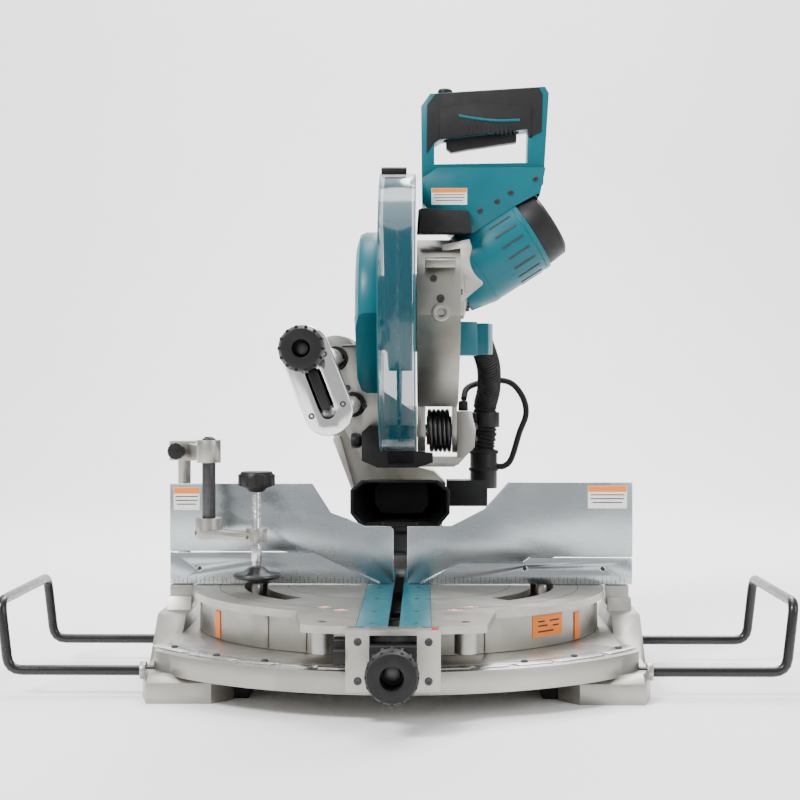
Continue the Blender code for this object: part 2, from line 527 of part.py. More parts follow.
def make_arm(kit):
    head = obround(RAIL_HIGH, RAIL_LOW, 0.032, ARM_Y)
    left = [(-0.100, 0.275), (-0.094, 0.254), (-0.071, 0.194), (-0.054, 0.140)]
    right = [(0.054, 0.140), (0.058, 0.190), (0.042, 0.206), (-0.012, 0.220), (-0.030, 0.262),
             (-0.036, 0.300)]
    leg = extruded("Y", left + arc((0, TABLE_Z), 0.050, 180, 360, 12) + right, *ARM_Y)
    rib_side = ((-0.094, 0.250), (-0.084, 0.254), (-0.055, 0.150), (-0.064, 0.170))
    rib = hull([(x, y, z) for x, z in rib_side for y in (0.298, ARM_Y[0] + 0.004)])
    cuts = [disc("Y", (x, 0, z), RAIL_R + GAP, 0.28, 0.42, 20) for x, z in (RAIL_HIGH, RAIL_LOW)]
    cuts.append(disc("Y", BEVEL, 0.014 + GAP, 0.28, 0.42, 20))
    kit.add("bevel_arm", "bevel_arm", "cast_alloy", [head, leg, rib], cuts)
    for word, (x, z) in (("upper", RAIL_HIGH), ("lower", RAIL_LOW)):
        kit.add(f"{word}_rail", "bevel_arm", "chrome",
                [ring("Y", (x, 0, z), 0.0085, RAIL_R, RAIL_FRONT, RAIL_REAR, 20)])
    shaft = turned("Y", BEVEL, [(0, 0.2555), (0.014, 0.2555), (0.014, ARM_Y[1] + GAP),
                                (0.024, ARM_Y[1] + GAP), (0.024, 0.384), (0.010, 0.390), (0, 0.390)], 20)
    kit.add("bevel_pivot_shaft", "turntable", "steel", [shaft])
    y0, y1 = HOUSING_Y
    cuts = [disc("Y", (x, 0, z), RAIL_R + GAP, RAIL_FRONT - GAP, y1 + 0.01, 20)
            for x, z in (RAIL_HIGH, RAIL_LOW)]
    slot_ends = [between_rails(0.30), between_rails(1.0)]
    cuts.append(obround(*slot_ends, 0.0068, (y0 - 0.01, y0 + 0.014), 8))
    cap = obround(RAIL_HIGH, RAIL_LOW, 0.0232, HOUSING_Y, 14)
    kit.add("rail_front_cap", "bevel_arm", "chrome", [cap], cuts)
    lever = obround(between_rails(0.42), between_rails(0.90), 0.0048, (y0 - 0.004, y0 + 0.0137), 6)
    kit.add("bevel_release_lever", "bevel_release", "black_plastic", [lever])
    x, z = RAIL_HIGH
    knob = turned("Y", (x, 0, z), [(0, y0 - GAP), (0.0150, y0 - GAP), (0.0205, y0 - 0.008),
                                   (0.0218, y0 - 0.024), (0.0185, y0 - 0.032), (0.0085, y0 - 0.032),
                                   (0.0085, y0 - 0.012), (0, y0 - 0.012)], 24)
    kit.add("bevel_lock_knob", "bevel_lock", "black_plastic", [knob])
    front = [(-0.064, 0.160), (-0.050, 0.143), (0.046, 0.143), (0.061, 0.160), (0.061, 0.189),
             (0.046, 0.2015), (-0.050, 0.2015), (-0.064, 0.189)]
    back = [(x * 0.62, 0.172 + (z - 0.172) * 0.8) for x, z in front]

    def horn(inset, y):
        middle = Vector((-0.001, 0.172))
        points = []
        for outline, where in ((front, y[0]), (back, y[1])):
            for px, pz in outline:
                p = Vector((px, pz)) - middle
                p = middle + p * (1 - inset / p.length)
                points.append((p.x, where, p.y))
        return hull(points)

    throat = hull([(x, y, z) for x in (-0.024, 0.022) for y, z in
                   ((0.150, 0.1095), (0.176, 0.1095), (0.172, 0.150), (0.200, 0.150))])
    throat_hollow = hull([(x, y, z) for x in (-0.021, 0.019) for y, z in
                          ((0.140, 0.1125), (0.173, 0.1125), (0.160, 0.160), (0.197, 0.160))])
    kit.add("dust_hood", "bevel_arm", "black_plastic", [horn(0.0, (0.172, ARM_Y[0] - 0.0145)), throat],
            [horn(0.0035, (0.1715, 0.290)), throat_hollow,
             box((-0.021, 0.019), (0.14, 0.173), (0.1125, 0.165))])
    elbow = hull([(x, y, z) for x, y in ((0.0585, 0.268), (0.112, 0.270), (0.114, 0.306), (0.0585, 0.306))
                  for z in (0.162, 0.196)])
    neck = disc("Z", (0.108, 0.288, 0), 0.0180, 0.185, 0.2360, 20)
    lug = box((0.050, 0.075), (0.296, ARM_Y[0] - GAP), (0.165, 0.185))
    kit.add("dust_elbow", "bevel_arm", "black_plastic", [elbow, neck, lug],
            [disc("Z", (0.108, 0.288, 0), 0.0135, 0.170, 0.25, 16),
             box((0.03, 0.0600 + GAP), (0.25, 0.2984), (0.15, 0.21))])


# ---- carriage ----------------------------------------------------------------------------
def make_carriage(kit):
    py, pz = PIVOT[1], PIVOT[2]
    sleeve = obround(RAIL_HIGH, RAIL_LOW, 0.030, (CARRIAGE_Y[0], 0.300), 10)
    block = hull([(x, y, z) for x, z in ((-0.080, 0.275), (-0.045, 0.2165), (0.0195, 0.2165),
                                        (0.0195, 0.285), (-0.040, 0.325))
                  for y in (CARRIAGE_Y[0], 0.268)])
    boss = disc("X", (0, py, pz), 0.032, -0.030, 0.0195, 24)
    sole_side = ((-0.045, 0.2165), (0.068, 0.2165), (0.080, 0.2285), (-0.045, 0.2285))
    sole = hull([(x, y, z) for x, z in sole_side for y in (CARRIAGE_Y[0] + 0.004, 0.268)])
    bracket = hull([(x, y, z) for x, y0, z in ((0.0716, 0.226, 0.2175), (0.076, 0.226, 0.2250),
                                              (0.094, 0.222, 0.2420), (0.0955, 0.222, 0.2650),
                                              (0.0716, 0.222, 0.2880), (0.0900, 0.224, 0.2880))
                    for y in (y0, 0.268)])
    bore = disc("X", (0, py, pz), 0.0085 + GAP, -0.020, 0.090, 16)
    cuts = [bore] + [disc("Y", (x, 0, z), RAIL_R + GAP, 0.19, 0.32, 20) for x, z in (RAIL_HIGH, RAIL_LOW)]
    kit.add("carriage", "carriage", "cast_alloy", [sleeve, block, boss, sole, bracket], cuts)
    kit.add("chop_pivot_shaft", "carriage", "steel", [disc("X", (0, py, pz), 0.0085, -0.0195, 0.0895, 16)])
    coils, x = [], 0.0325
    while x < 0.0600:
        coils += [(0.0262, x), (0.0288, x + 0.0015), (0.0288, x + 0.0062), (0.0262, x + 0.0076)]
        x += 0.0080
    spring = [(0.0095, 0.0318)] + coils + [(0.0095, 0.0648)]
    kit.add("return_spring", "carriage", "dark_steel", [turned("X", (0, py, pz), spring, 16)])
    boot = [(-0.030, 0.2175), (0.020, 0.2175), (0.040, 0.2240), (0.040, 0.2350), (0.0192, 0.2370),
            (0.0185, 0.2700), (-0.040, 0.2710), (-0.050, 0.2620), (-0.050, 0.2260)]
    kit.add("dust_guide", "carriage", "black_rubber",
            [extruded("Y", boot, 0.1780, CARRIAGE_Y[0] - GAP)],
            [box((-0.017, 0.0155), (0.17, 0.197), (0.222, 0.28))])
    knob = turned("X", (0, 0.1915, 0.2510), [(0, -0.0640), (0.0085, -0.0640), (0.0098, -0.0600),
                                            (0.0090, -0.0530), (0.0055, -0.0503), (0, -0.0503)], 14)
    kit.add("slide_lock_knob", "slide_lock", "black_plastic", [knob])
    clip = ring("Z", (0.110, 0.288, 0), 0.0158, 0.0192, 0.2660, 0.2860, 20)
    strap = box((0.0930, 0.0980), (0.262, 0.276), (0.2670, 0.2850))
    kit.add("hose_clip", "carriage", "black_plastic", [clip, strap],
            [box((0.08, 0.0958), (0.25, 0.2683), (0.25, 0.30))])
    gland = rod((0.0800, 0.2480, 0.2884), (0.0800, 0.2520, 0.3000), 0.0062, 12)
    foot = box((0.07, 0.09), (0.23, 0.27), (0.28, 0.2884))
    kit.add("cable_gland", "carriage", "black_rubber", [gland], [foot])
    hook = [(-0.052, 0.2040, 0.350), (-0.052, 0.1960, 0.350), (-0.0535, 0.1960, 0.372),
            (-0.076, 0.1960, 0.372)]
    kit.add("hex_wrench", "carriage", "dark_steel", [swept(rounded_path(hook, 0.003, 2), 0.0022, 8)])


# ---- saw head ----------------------------------------------------------------------------
MOTOR_TILT = 33.0
MOTOR_AT = Vector((0.172, 0.078, 0.515))     # centre of the motor's rear face


def along_motor(profile, sides=28):
    """A profile of (radius, distance back from the rear face) turned about the motor's axis."""
    solid = turned("X", (0, 0, 0), profile, sides)
    turn = Matrix.Rotation(radians(-MOTOR_TILT), 4, "Y")
    solid.data.transform(Matrix.Translation(MOTOR_AT) @ turn)
    return solid


def make_head(kit):
    py, pz = PIVOT[1], PIVOT[2]
    ay, az = ARBOR[1], ARBOR[2]
    side = [(0.274, 0.294), (0.285, 0.350), (0.230, 0.440), (0.150, 0.490), (0.060, 0.494),
            (0.010, 0.474), (-0.010, 0.440), (-0.012, 0.402), (0.010, 0.376), (0.060, 0.345),
            (0.150, 0.300), (0.222, 0.294)]
    arm = extruded("X", side, 0.0303, 0.0657)
    lugs = []
    for x0, x1 in ((0.0203, 0.0306), (0.0654, 0.0712)):
        lugs.append(hull([(x, y, z) for y, z in arc((py, pz), 0.029, 190, 350, 8)
                          + [(0.274, 0.300), (0.222, 0.300)] for x in (x0, x1)]))
        lugs.append(extruded("X", side, x0, x1))
    nose = disc("X", (0, ay, az), 0.046, 0.0160, 0.0310, 28)
    gearbox = turned("X", (0, ay + 0.020, az + 0.035), [(0, 0.060), (0.043, 0.060), (0.041, 0.0760),
                                                       (0.030, 0.0800), (0, 0.0800)], 24)
    neck = hull([(x, y, z) for x, y, z in (
        (0.050, 0.030, 0.400), (0.050, 0.120, 0.400), (0.050, 0.020, 0.485), (0.050, 0.125, 0.485),
        (0.098, 0.035, 0.440), (0.098, 0.118, 0.440), (0.082, 0.035, 0.493), (0.082, 0.118, 0.493))])
    motor_cut = along_motor([(0, -0.130), (0.0412, -0.130), (0.0473, -0.100), (0.0473, -0.020),
                             (0.042, 0.020), (0, 0.020)])
    cuts = [motor_cut, disc("X", (0, py, pz), 0.0085 + GAP, -0.02, 0.09, 16),
            disc("X", (0, ay, az), 0.0128, -0.02, 0.030, 16),
            disc("X", (0, ay, az), 0.0365, 0.026, 0.062, 24)]
    kit.add("gear_housing", "head", "cast_alloy", [arm] + lugs + [nose, gearbox, neck], cuts)
    shell = along_motor([(0.018, -0.1285), (0.0405, -0.1285), (0.0468, -0.099), (0.0468, -0.0203),
                         (0.0430, -0.0203), (0.0430, -0.097), (0.0370, -0.1245), (0.018, -0.1245)])
    kit.add("motor_housing", "head", "teal_plastic", [shell])
    cap = along_motor([(0.0150, -0.0020), (0.0395, -0.0020), (0.0395, -0.0200), (0.0445, -0.0200),
                       (0.0425, 0.0030), (0.0360, 0.0075), (0.0150, 0.0060)])
    kit.add("motor_end_cap", "head", "black_plastic", [cap])
    armature = along_motor([(0, -0.126), (0.0055, -0.126), (0.0055, -0.095), (0.0255, -0.092),
                            (0.0255, -0.035), (0.0145, -0.030), (0.0145, -0.0150),
                            (0.0055, -0.0140), (0.0055, 0.0010), (0, 0.0010)], 20)
    kit.add("motor_armature", "motor_armature", "copper", [armature])
    outline = [(0.040, 0.5295), (0.060, 0.5010), (0.096, 0.5010), (0.140, 0.530), (0.1700, 0.560),
               (0.1765, 0.667), (0.1720, 0.6750), (0.036, 0.667), (0.0252, 0.652), (0.0264, 0.538)]
    body = extruded("Y", outline, 0.0570, 0.0940)
    base = hull([(x, y, z) for x, z in ((0.0264, 0.538), (0.040, 0.5300), (0.060, 0.5010), (0.096, 0.5010),
                                        (0.165, 0.545), (0.172, 0.578), (0.045, 0.578), (0.0264, 0.565))
                 for y in (0.0455, 0.1080)])
    window = extruded("Y", [(0.0410, 0.5835), (0.1510, 0.5850), (0.1520, 0.6250), (0.0480, 0.6130),
                            (0.0410, 0.6080)], 0.0, 0.2)
    pocket = box((0.052, 0.142), (0.0660, 0.0850), (0.600, 0.6310))
    button_hole = disc("Z", (0.054, 0.0755, 0), 0.0093, 0.6500, 0.70, 16)
    seat = hull([(x, y, z) for x, z in ((0.0470, 0.6050), (0.156, 0.6150), (0.156, 0.6520), (0.0900, 0.6560),
                                        (0.0470, 0.6500)) for y in (0.0560, 0.0600)])
    kit.add("handle", "head", "teal_plastic", [body, base],
            [window, pocket, button_hole, seat,
             along_motor([(0, -0.150), (0.0473, -0.150), (0.0473, -0.0198), (0.0455, 0.0105), (0, 0.0105)])])
    skin_side = ((0.0475, 0.6062), (0.1555, 0.6160), (0.1555, 0.6515), (0.0900, 0.6555), (0.0475, 0.6495))
    skin = hull([(x, y, z) for x, z in skin_side for y in (0.0545, 0.0597)])
    hand_side = ((0.0405, 0.5835), (0.1515, 0.5850), (0.1525, 0.6253), (0.0480, 0.6133), (0.0405, 0.6083))
    hand = hull([(x, y, z) for x, z in hand_side for y in (0.05, 0.07)])
    kit.add("grip_overmould", "head", "black_rubber", [skin], [hand])
    kit.add("trigger", "trigger", "black_plastic",
            [extruded("Y", [(0.0550, 0.6040), (0.0610, 0.5990), (0.0800, 0.6025), (0.1390, 0.6110),
                            (0.1390, 0.6220), (0.0550, 0.6220)], 0.0670, 0.0840)])
    kit.add("lock_off_button", "lock_off_button", "black_plastic",
            [turned("Z", (0.054, 0.0755, 0), [(0, 0.6550), (0.0088, 0.6550), (0.0088, 0.6735),
                                              (0.0070, 0.6755), (0, 0.6755)], 16)])
    kit.add("head_bumper", "head", "black_rubber",
            [hull([(x, y, z) for x, y, z in ((0.022, 0.012, 0.4985), (0.084, 0.012, 0.4985),
                                             (0.020, 0.0452, 0.4985), (0.085, 0.0452, 0.4985),
                                             (0.025, 0.014, 0.5270), (0.080, 0.014, 0.5240),
                                             (0.022, 0.0452, 0.5290), (0.082, 0.0452, 0.5260))])])
    port = hull([(x, y, z) for x, y in ((0.0715 + GAP, 0.136), (0.1080, 0.136), (0.1150, 0.1640),
                                        (0.0715 + GAP, 0.1640)) for z in (0.3600, 0.3985)])
    shield = hull([(x, y, z) for x, y in ((0.0715 + GAP, 0.088), (0.0930, 0.094), (0.0930, 0.145),
                                          (0.0715 + GAP, 0.145)) for z in (0.3580, 0.3985)])
    kit.add("hose_port", "head", "teal_plastic", [port, shield])


def make_blade(kit):
    teeth = 36
    outline = []
    for k in range(teeth):
        base = 2 * pi * k / teeth
        for radius, share in ((BLADE_R, 0.0), (BLADE_R - 0.0065, 0.25), (BLADE_R - 0.0030, 0.85)):
            t = base + share * 2 * pi / teeth
            outline.append((ARBOR[1] + radius * cos(t), ARBOR[2] + radius * sin(t)))
    half = BLADE_T / 2
    kit.add("saw_blade", "blade", "steel", [extruded("X", outline, -half, half)],
            [disc("X", ARBOR, 0.0123 + GAP, -0.01, 0.01, 20)])
    kit.add("arbor_shaft", "blade", "steel",
            [turned("X", ARBOR, [(0, -0.0090), (0.0123, -0.0090), (0.0123, 0.0580), (0, 0.0580)], 20)])
    kit.add("blade_flange", "blade", "steel",
            [ring("X", ARBOR, 0.0123 + GAP, 0.0215, -0.0082, -half - GAP, 24)])
    kit.add("arbor_bolt", "blade", "dark_steel",
            [disc("X", ARBOR, 0.0105, -0.0160, -0.0093, 6)])
    kit.add("drive_gear", "blade", "steel", [ring("X", ARBOR, 0.0123 + GAP, 0.0340, 0.0340, 0.0480, 40)])


def make_guard(kit):
    ay, az = ARBOR[1], ARBOR[2]
    centre = (ay, az)

    def sector(outer, inner, start, end, x):
        points = arc(centre, outer, start, end, 30) + arc(centre, inner, end, start, 14)
        return extruded("X", points, *x)

    guard = sector(GUARD_R, GUARD_HUB_R, 100, 290, GUARD_X)
    hollow = sector(GUARD_R - SHELL, GUARD_HUB_R - 0.006, 94, 296,
                    (GUARD_X[0] + SHELL, GUARD_X[1] - SHELL))
    kit.add("lower_guard", "lower_guard", "clear_teal", [guard], [hollow])
    cap = [(x, ay + r * cos(radians(t)), az + r * sin(radians(t))) for t in (92, 98, 105)
           for r in (GUARD_R + GAP, 0.1705) for x in (-0.0205, 0.0085)]
    kit.add("guard_end_roller", "lower_guard", "black_rubber", [hull(cap)],
            [disc("X", (0, ay, az), GUARD_R + GAP, -0.03, 0.03, 90)])
    case = arc(centre, CASE_R, -25, 142, 28) + arc(centre, 0.046, 160, 317, 12)
    inner = arc(centre, CASE_R - 0.003, -30, 147, 28) + arc(centre, 0.0440, 165, 312, 12)
    cuts = [extruded("X", inner, CASE_X[0] + SHELL, CASE_X[1] - SHELL),
            disc("X", (0, ay, az), 0.157, CASE_X[0] + SHELL, CASE_X[1] - SHELL, 48),
            disc("X", (0, ay, az), 0.0250, -0.05, 0.05, 20)]
    kit.add("blade_case", "head", "teal_plastic", [extruded("X", case, *CASE_X)], cuts)
    cover = turned("X", (0, ay, az), [(0, -0.0495), (0.078, -0.0495), (0.092, -0.0450), (0.095, -0.0390),
                                      (0.095, -0.0240), (0.0440, -0.0240), (0.0440, -0.0168),
                                      (0.0300, -0.0168), (0.0300, -0.0460), (0, -0.0460)], 28)
    flat = radians(-131.5)
    off = Vector((0, cos(flat), sin(flat)))
    across = Vector((0, -off.z, off.y))
    corners = [Vector(ARBOR) + off * d + across * s for d in (0.066, 0.12) for s in (-0.12, 0.12)]
    trim = hull([(x, p.y, p.z) for p in corners for x in (-0.06, -0.0225)])
    kit.add("blade_side_cover", "head", "teal_plastic", [cover], [trim])


# ---- hose and cable ----------------------------------------------------------------------
HOSE_R = 0.0155
HOSE_UPPER = [(0.0985, 0.1656, 0.3790), (0.0985, 0.1760, 0.3790), (0.1040, 0.2000, 0.3690),
              (0.1125, 0.2340, 0.3450), (0.1140, 0.2670, 0.3170), (0.1102, 0.2870, 0.2960),
              (0.1100, 0.2880, 0.2866)]
HOSE_LOWER = [(0.1100, 0.2880, 0.2655), (0.1100, 0.2880, 0.2560), (0.1082, 0.2880, 0.2450),
              (0.1080, 0.2880, 0.2366)]
CABLE = [(0.0808, 0.2556, 0.3066), (0.0850, 0.2700, 0.3170), (0.1000, 0.2900, 0.3240),
         (0.1240, 0.2990, 0.3285), (0.1460, 0.3000, 0.3240), (0.1610, 0.2990, 0.3050),
         (0.1650, 0.2980, 0.2830), (0.1560, 0.2960, 0.2580), (0.1450, 0.2900, 0.2240),
         (0.1350, 0.2880, 0.2142), (0.1266, 0.2880, 0.2140)]


def make_hose_and_cable(kit):
    kit.add("hose_upper", "head", "black_rubber", [swept(smooth_path(HOSE_UPPER, 0.012), HOSE_R, 10)])
    kit.add("hose_lower", "bevel_arm", "black_rubber", [swept(smooth_path(HOSE_LOWER, 0.008), HOSE_R, 10)])
    kit.add("light_cable", "carriage", "black_rubber", [swept(smooth_path(CABLE, 0.009), 0.0040, 8)])


AXES = {
    "turntable": (0, 0, 0),
    "miter_grip": (0, -0.350, 0.057),
    "detent_lever": (-0.0512, -0.306, 0.066),
    "bevel_arm": BEVEL,
    "bevel_lock": (RAIL_HIGH[0], -0.34, RAIL_HIGH[1]),
    "bevel_release": (RAIL_LOW[0], -0.32, RAIL_LOW[1]),
    "carriage": (RAIL_HIGH[0], 0.25, RAIL_HIGH[1]),
    "slide_lock": (-0.055, 0.1915, 0.251),
    "head": PIVOT,
    "blade": ARBOR,
    "lower_guard": ARBOR,
    "motor_armature": tuple(MOTOR_AT),
    "trigger": (0.097, 0.0755, 0.607),
    "lock_off_button": (0.054, 0.0755, 0.655),
    "sliding_fence_left": (-0.195, FENCE_T, 0.156),
    "sliding_fence_right": (0.195, FENCE_T, 0.156),
    "extension_bar_left": (-BAR_X[0], BAR_Y[0], BAR_Z),
    "extension_bar_right": (BAR_X[0], BAR_Y[0], BAR_Z),
    "vise": (*VISE_REAR, 0),
    "vise_clamp": (VISE_REAR[0] - 0.0055, VISE_REAR[1], 0.2450),
    "vise_screw": (*VISE_SCREW, 0.150),
    "vise_knob": (*VISE_SCREW, 0.215),
}


# ---- assembly ----------------------------------------------------------------------------
def main():
    clear_scene()
    kit = Kit()
    for body, where in AXES.items():
        kit.pivot(body, where)
    make_base(kit)
    make_fences(kit)
    make_extension_bars(kit)
    make_vise(kit)
    make_turntable(kit)
    make_arm(kit)
    make_carriage(kit)
    make_head(kit)
    make_blade(kit)
    make_guard(kit)
    make_hose_and_cable(kit)


main()
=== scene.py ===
"""Looks for the sliding compound miter saw: the CAD's pieces made finer, with finishes and small parts.

Metres, +Z up, X to the operator's right, Y away from the operator. Origin: the miter axis at bench level.
"""

import json
from math import asin, cos, degrees, pi, radians, sin

import bmesh
import bpy
from mathutils import Matrix, Vector

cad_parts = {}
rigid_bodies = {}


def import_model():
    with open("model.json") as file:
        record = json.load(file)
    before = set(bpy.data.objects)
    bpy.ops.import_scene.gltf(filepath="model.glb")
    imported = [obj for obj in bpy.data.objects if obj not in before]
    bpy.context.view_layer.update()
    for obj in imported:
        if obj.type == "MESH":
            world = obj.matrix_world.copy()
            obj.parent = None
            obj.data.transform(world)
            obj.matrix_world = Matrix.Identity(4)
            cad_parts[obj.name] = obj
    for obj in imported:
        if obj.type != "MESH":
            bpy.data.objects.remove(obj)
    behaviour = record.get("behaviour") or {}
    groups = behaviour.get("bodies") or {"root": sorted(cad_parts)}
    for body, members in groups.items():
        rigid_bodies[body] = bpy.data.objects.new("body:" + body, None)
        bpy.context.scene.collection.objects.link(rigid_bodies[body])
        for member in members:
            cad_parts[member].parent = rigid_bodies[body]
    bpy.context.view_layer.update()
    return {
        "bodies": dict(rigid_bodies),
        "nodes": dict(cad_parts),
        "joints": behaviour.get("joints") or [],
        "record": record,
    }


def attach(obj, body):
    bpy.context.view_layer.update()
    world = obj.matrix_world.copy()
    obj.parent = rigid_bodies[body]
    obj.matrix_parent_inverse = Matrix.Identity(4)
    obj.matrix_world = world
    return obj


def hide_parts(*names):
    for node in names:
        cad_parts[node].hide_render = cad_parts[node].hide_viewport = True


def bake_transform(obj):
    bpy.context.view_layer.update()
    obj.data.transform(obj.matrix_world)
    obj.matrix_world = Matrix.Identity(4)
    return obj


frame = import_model()

# ---- driving dimensions, as in the CAD ---------------------------------------------------
GAP = 0.0003                  # clearance kept between touching pieces
BLADE_R = 0.1525              # 12-inch blade
BLADE_T = 0.0024
TABLE_Z = 0.092               # top of the turntable
FLANGE_Z = 0.048              # top of the base's front flange, which carries the detents
APRON_Z = 0.026               # lower edge of the base plate
APRON_R = 0.315               # outer radius of the base's front arc
RIM_R = 0.234                 # rim of the turntable's top
DRUM_R = 0.227                # the turntable's wall
TOP_T = 0.008                 # thickness of the turntable's top
NOSE_R = 0.318                # front edge of the turntable's nose
NOSE_HALF = 0.045             # half width of the frame that closes the nose
FRAME_Z = 0.0325              # underside of that frame, clear of the extension rods
SLOT_IN, SLOT_OUT = 0.151, 0.177   # arc slots that let the fence posts through
POST_X, POST_Y, POST_R = 0.1655, 0.010, 0.0075
MITER_MAX = 46.0              # degrees the turntable turns each way
KERF_HALF = 0.0055            # half width of the saw slot between the kerf boards
BOARD_HALF = 0.036            # outer edge of the kerf boards
BOARD_T = 0.004
BOARD_Y = (-0.3165, 0.150)
BASE_HALF = 0.250             # half width across the base's sides
TOWER_IN, TOWER_OUT = 0.238, 0.266
FENCE_T = 0.004               # fixed fence plates
UPPER_T = 0.008               # sliding fence plates, one gap behind the fixed ones
FENCE_END = 0.264
LEFT_TOP, RIGHT_TOP = 0.129, 0.123
UPPER_TOP = 0.208

BEVEL = (0.0, 0.0, TABLE_Z)           # tilt axis, along Y through the kerf at table level
RAIL_HIGH = (-0.085, 0.356)           # (x, z) of the two slide rails
RAIL_LOW = (-0.062, 0.297)
RAIL_R = 0.011
RAIL_FRONT, RAIL_REAR = -0.298, 0.385
HOUSING_Y = (-0.325, -0.293)          # cap that joins the rails at the front
ARM_Y = (0.312, 0.372)                # the tilting arm casting behind the table
PIVOT = (0.0, 0.250, 0.2625)          # chop hinge, along X
ARBOR = (0.0, 0.050, 0.407)           # blade axis with the head up
CARRIAGE_Y = (0.215, 0.296)
GUARD_R = 0.163
GUARD_X = (-0.0215, 0.019)
GUARD_HUB_R = 0.050
CASE_R = 0.159
CASE_X = (-0.0165, 0.0140)
SHELL = 0.0022                        # wall of plastic and pressed covers

BAR_R = 0.0053                        # extension rods
BAR_Y = (-0.188, 0.016)
BAR_Z = 0.0265
BAR_X = (0.225, 0.402)
BAR_TOP = 0.098

VISE_REAR = (-0.2545, 0.047)          # (x, y) of the vise's post behind the fence
VISE_FRONT = (-0.214, -0.038)
VISE_SCREW = (-0.156, -0.076)

SIDES = 32                            # facets round a large piece
FINE = 3                              # how many times finer than that the rounds are cut here


# ---- finishes ----------------------------------------------------------------------------
class Nodes:
    """Short forms for wiring one material's nodes."""

    def __init__(self, name):
        self.mat = bpy.data.materials.new(name)
        self.mat.use_nodes = True
        self.tree = self.mat.node_tree
        self.shader = self.tree.nodes["Principled BSDF"]
        self.coords = self.tree.nodes.new("ShaderNodeTexCoord").outputs["Object"]

    def new(self, kind, **values):
        node = self.tree.nodes.new(kind)
        for key, value in values.items():
            if key in node.inputs:
                node.inputs[key].default_value = value
            else:
                setattr(node, key, value)
        return node

    def link(self, a, b):
        self.tree.links.new(a, b)

    def noise(self, scale, stretch=(1, 1, 1), detail=4.0, rough=0.55):
        mapping = self.new("ShaderNodeMapping")
        mapping.inputs["Scale"].default_value = stretch
        self.link(self.coords, mapping.inputs["Vector"])
        noise = self.new("ShaderNodeTexNoise", Scale=scale, Detail=detail, Roughness=rough)
        self.link(mapping.outputs["Vector"], noise.inputs["Vector"])
        return noise.outputs["Fac"]

    def span(self, fac, low, high):
        """A 0 to 1 value spread over low to high."""
        node = self.new("ShaderNodeMapRange")
        node.inputs["From Min"].default_value = 0.25
        node.inputs["From Max"].default_value = 0.75
        node.inputs["To Min"].default_value = low
        node.inputs["To Max"].default_value = high
        self.link(fac, node.inputs["Value"])
        return node.outputs["Result"]

    def mix(self, fac, a, b):
        node = self.new("ShaderNodeMix")
        node.data_type = "RGBA"
        for value, socket in ((fac, node.inputs[0]), (a, node.inputs[6]), (b, node.inputs[7])):
            if isinstance(value, (tuple, float)):
                socket.default_value = (*value, 1.0) if isinstance(value, tuple) else value
            else:
                self.link(value, socket)
        return node.outputs[2]

    def wear_and_edge_highlight(self, colour, edge_wear_and_highlight_colour, amount):
        """The colour, with its convex edges lightened towards the edge colour: partly rubbed wear, partly a
        painted edge highlight.
        """
        # pointiness picks out convex edges and lightens them: part real wear, part painted highlight along
        # the edges
        point = self.new("ShaderNodeNewGeometry").outputs["Pointiness"]
        ramp = self.new("ShaderNodeMapRange")
        for key, value in (("From Min", 0.52), ("From Max", 0.60), ("To Min", 0.0), ("To Max", amount)):
            ramp.inputs[key].default_value = value
        self.link(point, ramp.inputs["Value"])
        patchy = self.new("ShaderNodeMath", operation="MULTIPLY")
        self.link(ramp.outputs["Result"], patchy.inputs[0])
        self.link(self.span(self.noise(60.0), 0.3, 1.0), patchy.inputs[1])
        return self.mix(patchy.outputs[0], colour, edge_wear_and_highlight_colour)

    def bump(self, height, strength, distance, below=None):
        node = self.new("ShaderNodeBump", Strength=strength, Distance=distance)
        self.link(height, node.inputs["Height"])
        if below is not None:
            self.link(below, node.inputs["Normal"])
        return node.outputs["Normal"]

    def wire(self, colour, roughness, normal):
        self.link(colour, self.shader.inputs["Base Color"])
        self.link(roughness, self.shader.inputs["Roughness"])
        self.link(normal, self.shader.inputs["Normal"])
        return self.mat


def cast(name, low, high, metallic=0.75, rough=(0.36, 0.52)):
    """Blasted or painted casting: clouded tone, fine pits, rubbed edges that also carry a painted edge
    highlight.
    """
    n = Nodes(name)
    n.shader.inputs["Metallic"].default_value = metallic
    n.shader.inputs["Specular IOR Level"].default_value = 0.5
    tone = n.mix(n.span(n.noise(9.0), 0.0, 1.0), low, high)
    # convex edges lightened: rubbed metal plus a painted edge highlight
    tone = n.wear_and_edge_highlight(tone, tuple(min(1.0, c * 1.35) for c in high), 0.55)
    grain = n.noise(520.0, detail=3.0)
    swell = n.bump(n.noise(38.0), 0.10, 0.0012)
    return n.wire(tone, n.span(n.noise(45.0), *rough), n.bump(grain, 0.16, 0.0004, swell))


def brushed(name, low, high, stretch, rough=(0.20, 0.34), metallic=1.0, grain=0.12):
    """Machined metal with fine lines along one direction, a few handling stains, and lighter edges that are
    part wear, part painted highlight.
    """
    n = Nodes(name)
    n.shader.inputs["Metallic"].default_value = metallic
    lines = n.noise(60.0, stretch, detail=6.0, rough=0.7)
    tone = n.mix(n.span(lines, 0.0, 1.0), low, high)
    tone = n.mix(n.span(n.noise(7.0), 0.0, 0.35), tone, tuple(c * 0.82 for c in low))
    # convex edges lightened: handling wear plus a painted edge highlight
    tone = n.wear_and_edge_highlight(tone, tuple(min(1.0, c * 1.15) for c in high), 0.5)
    return n.wire(tone, n.span(n.noise(14.0, detail=6.0), *rough), n.bump(lines, grain, 0.0003))


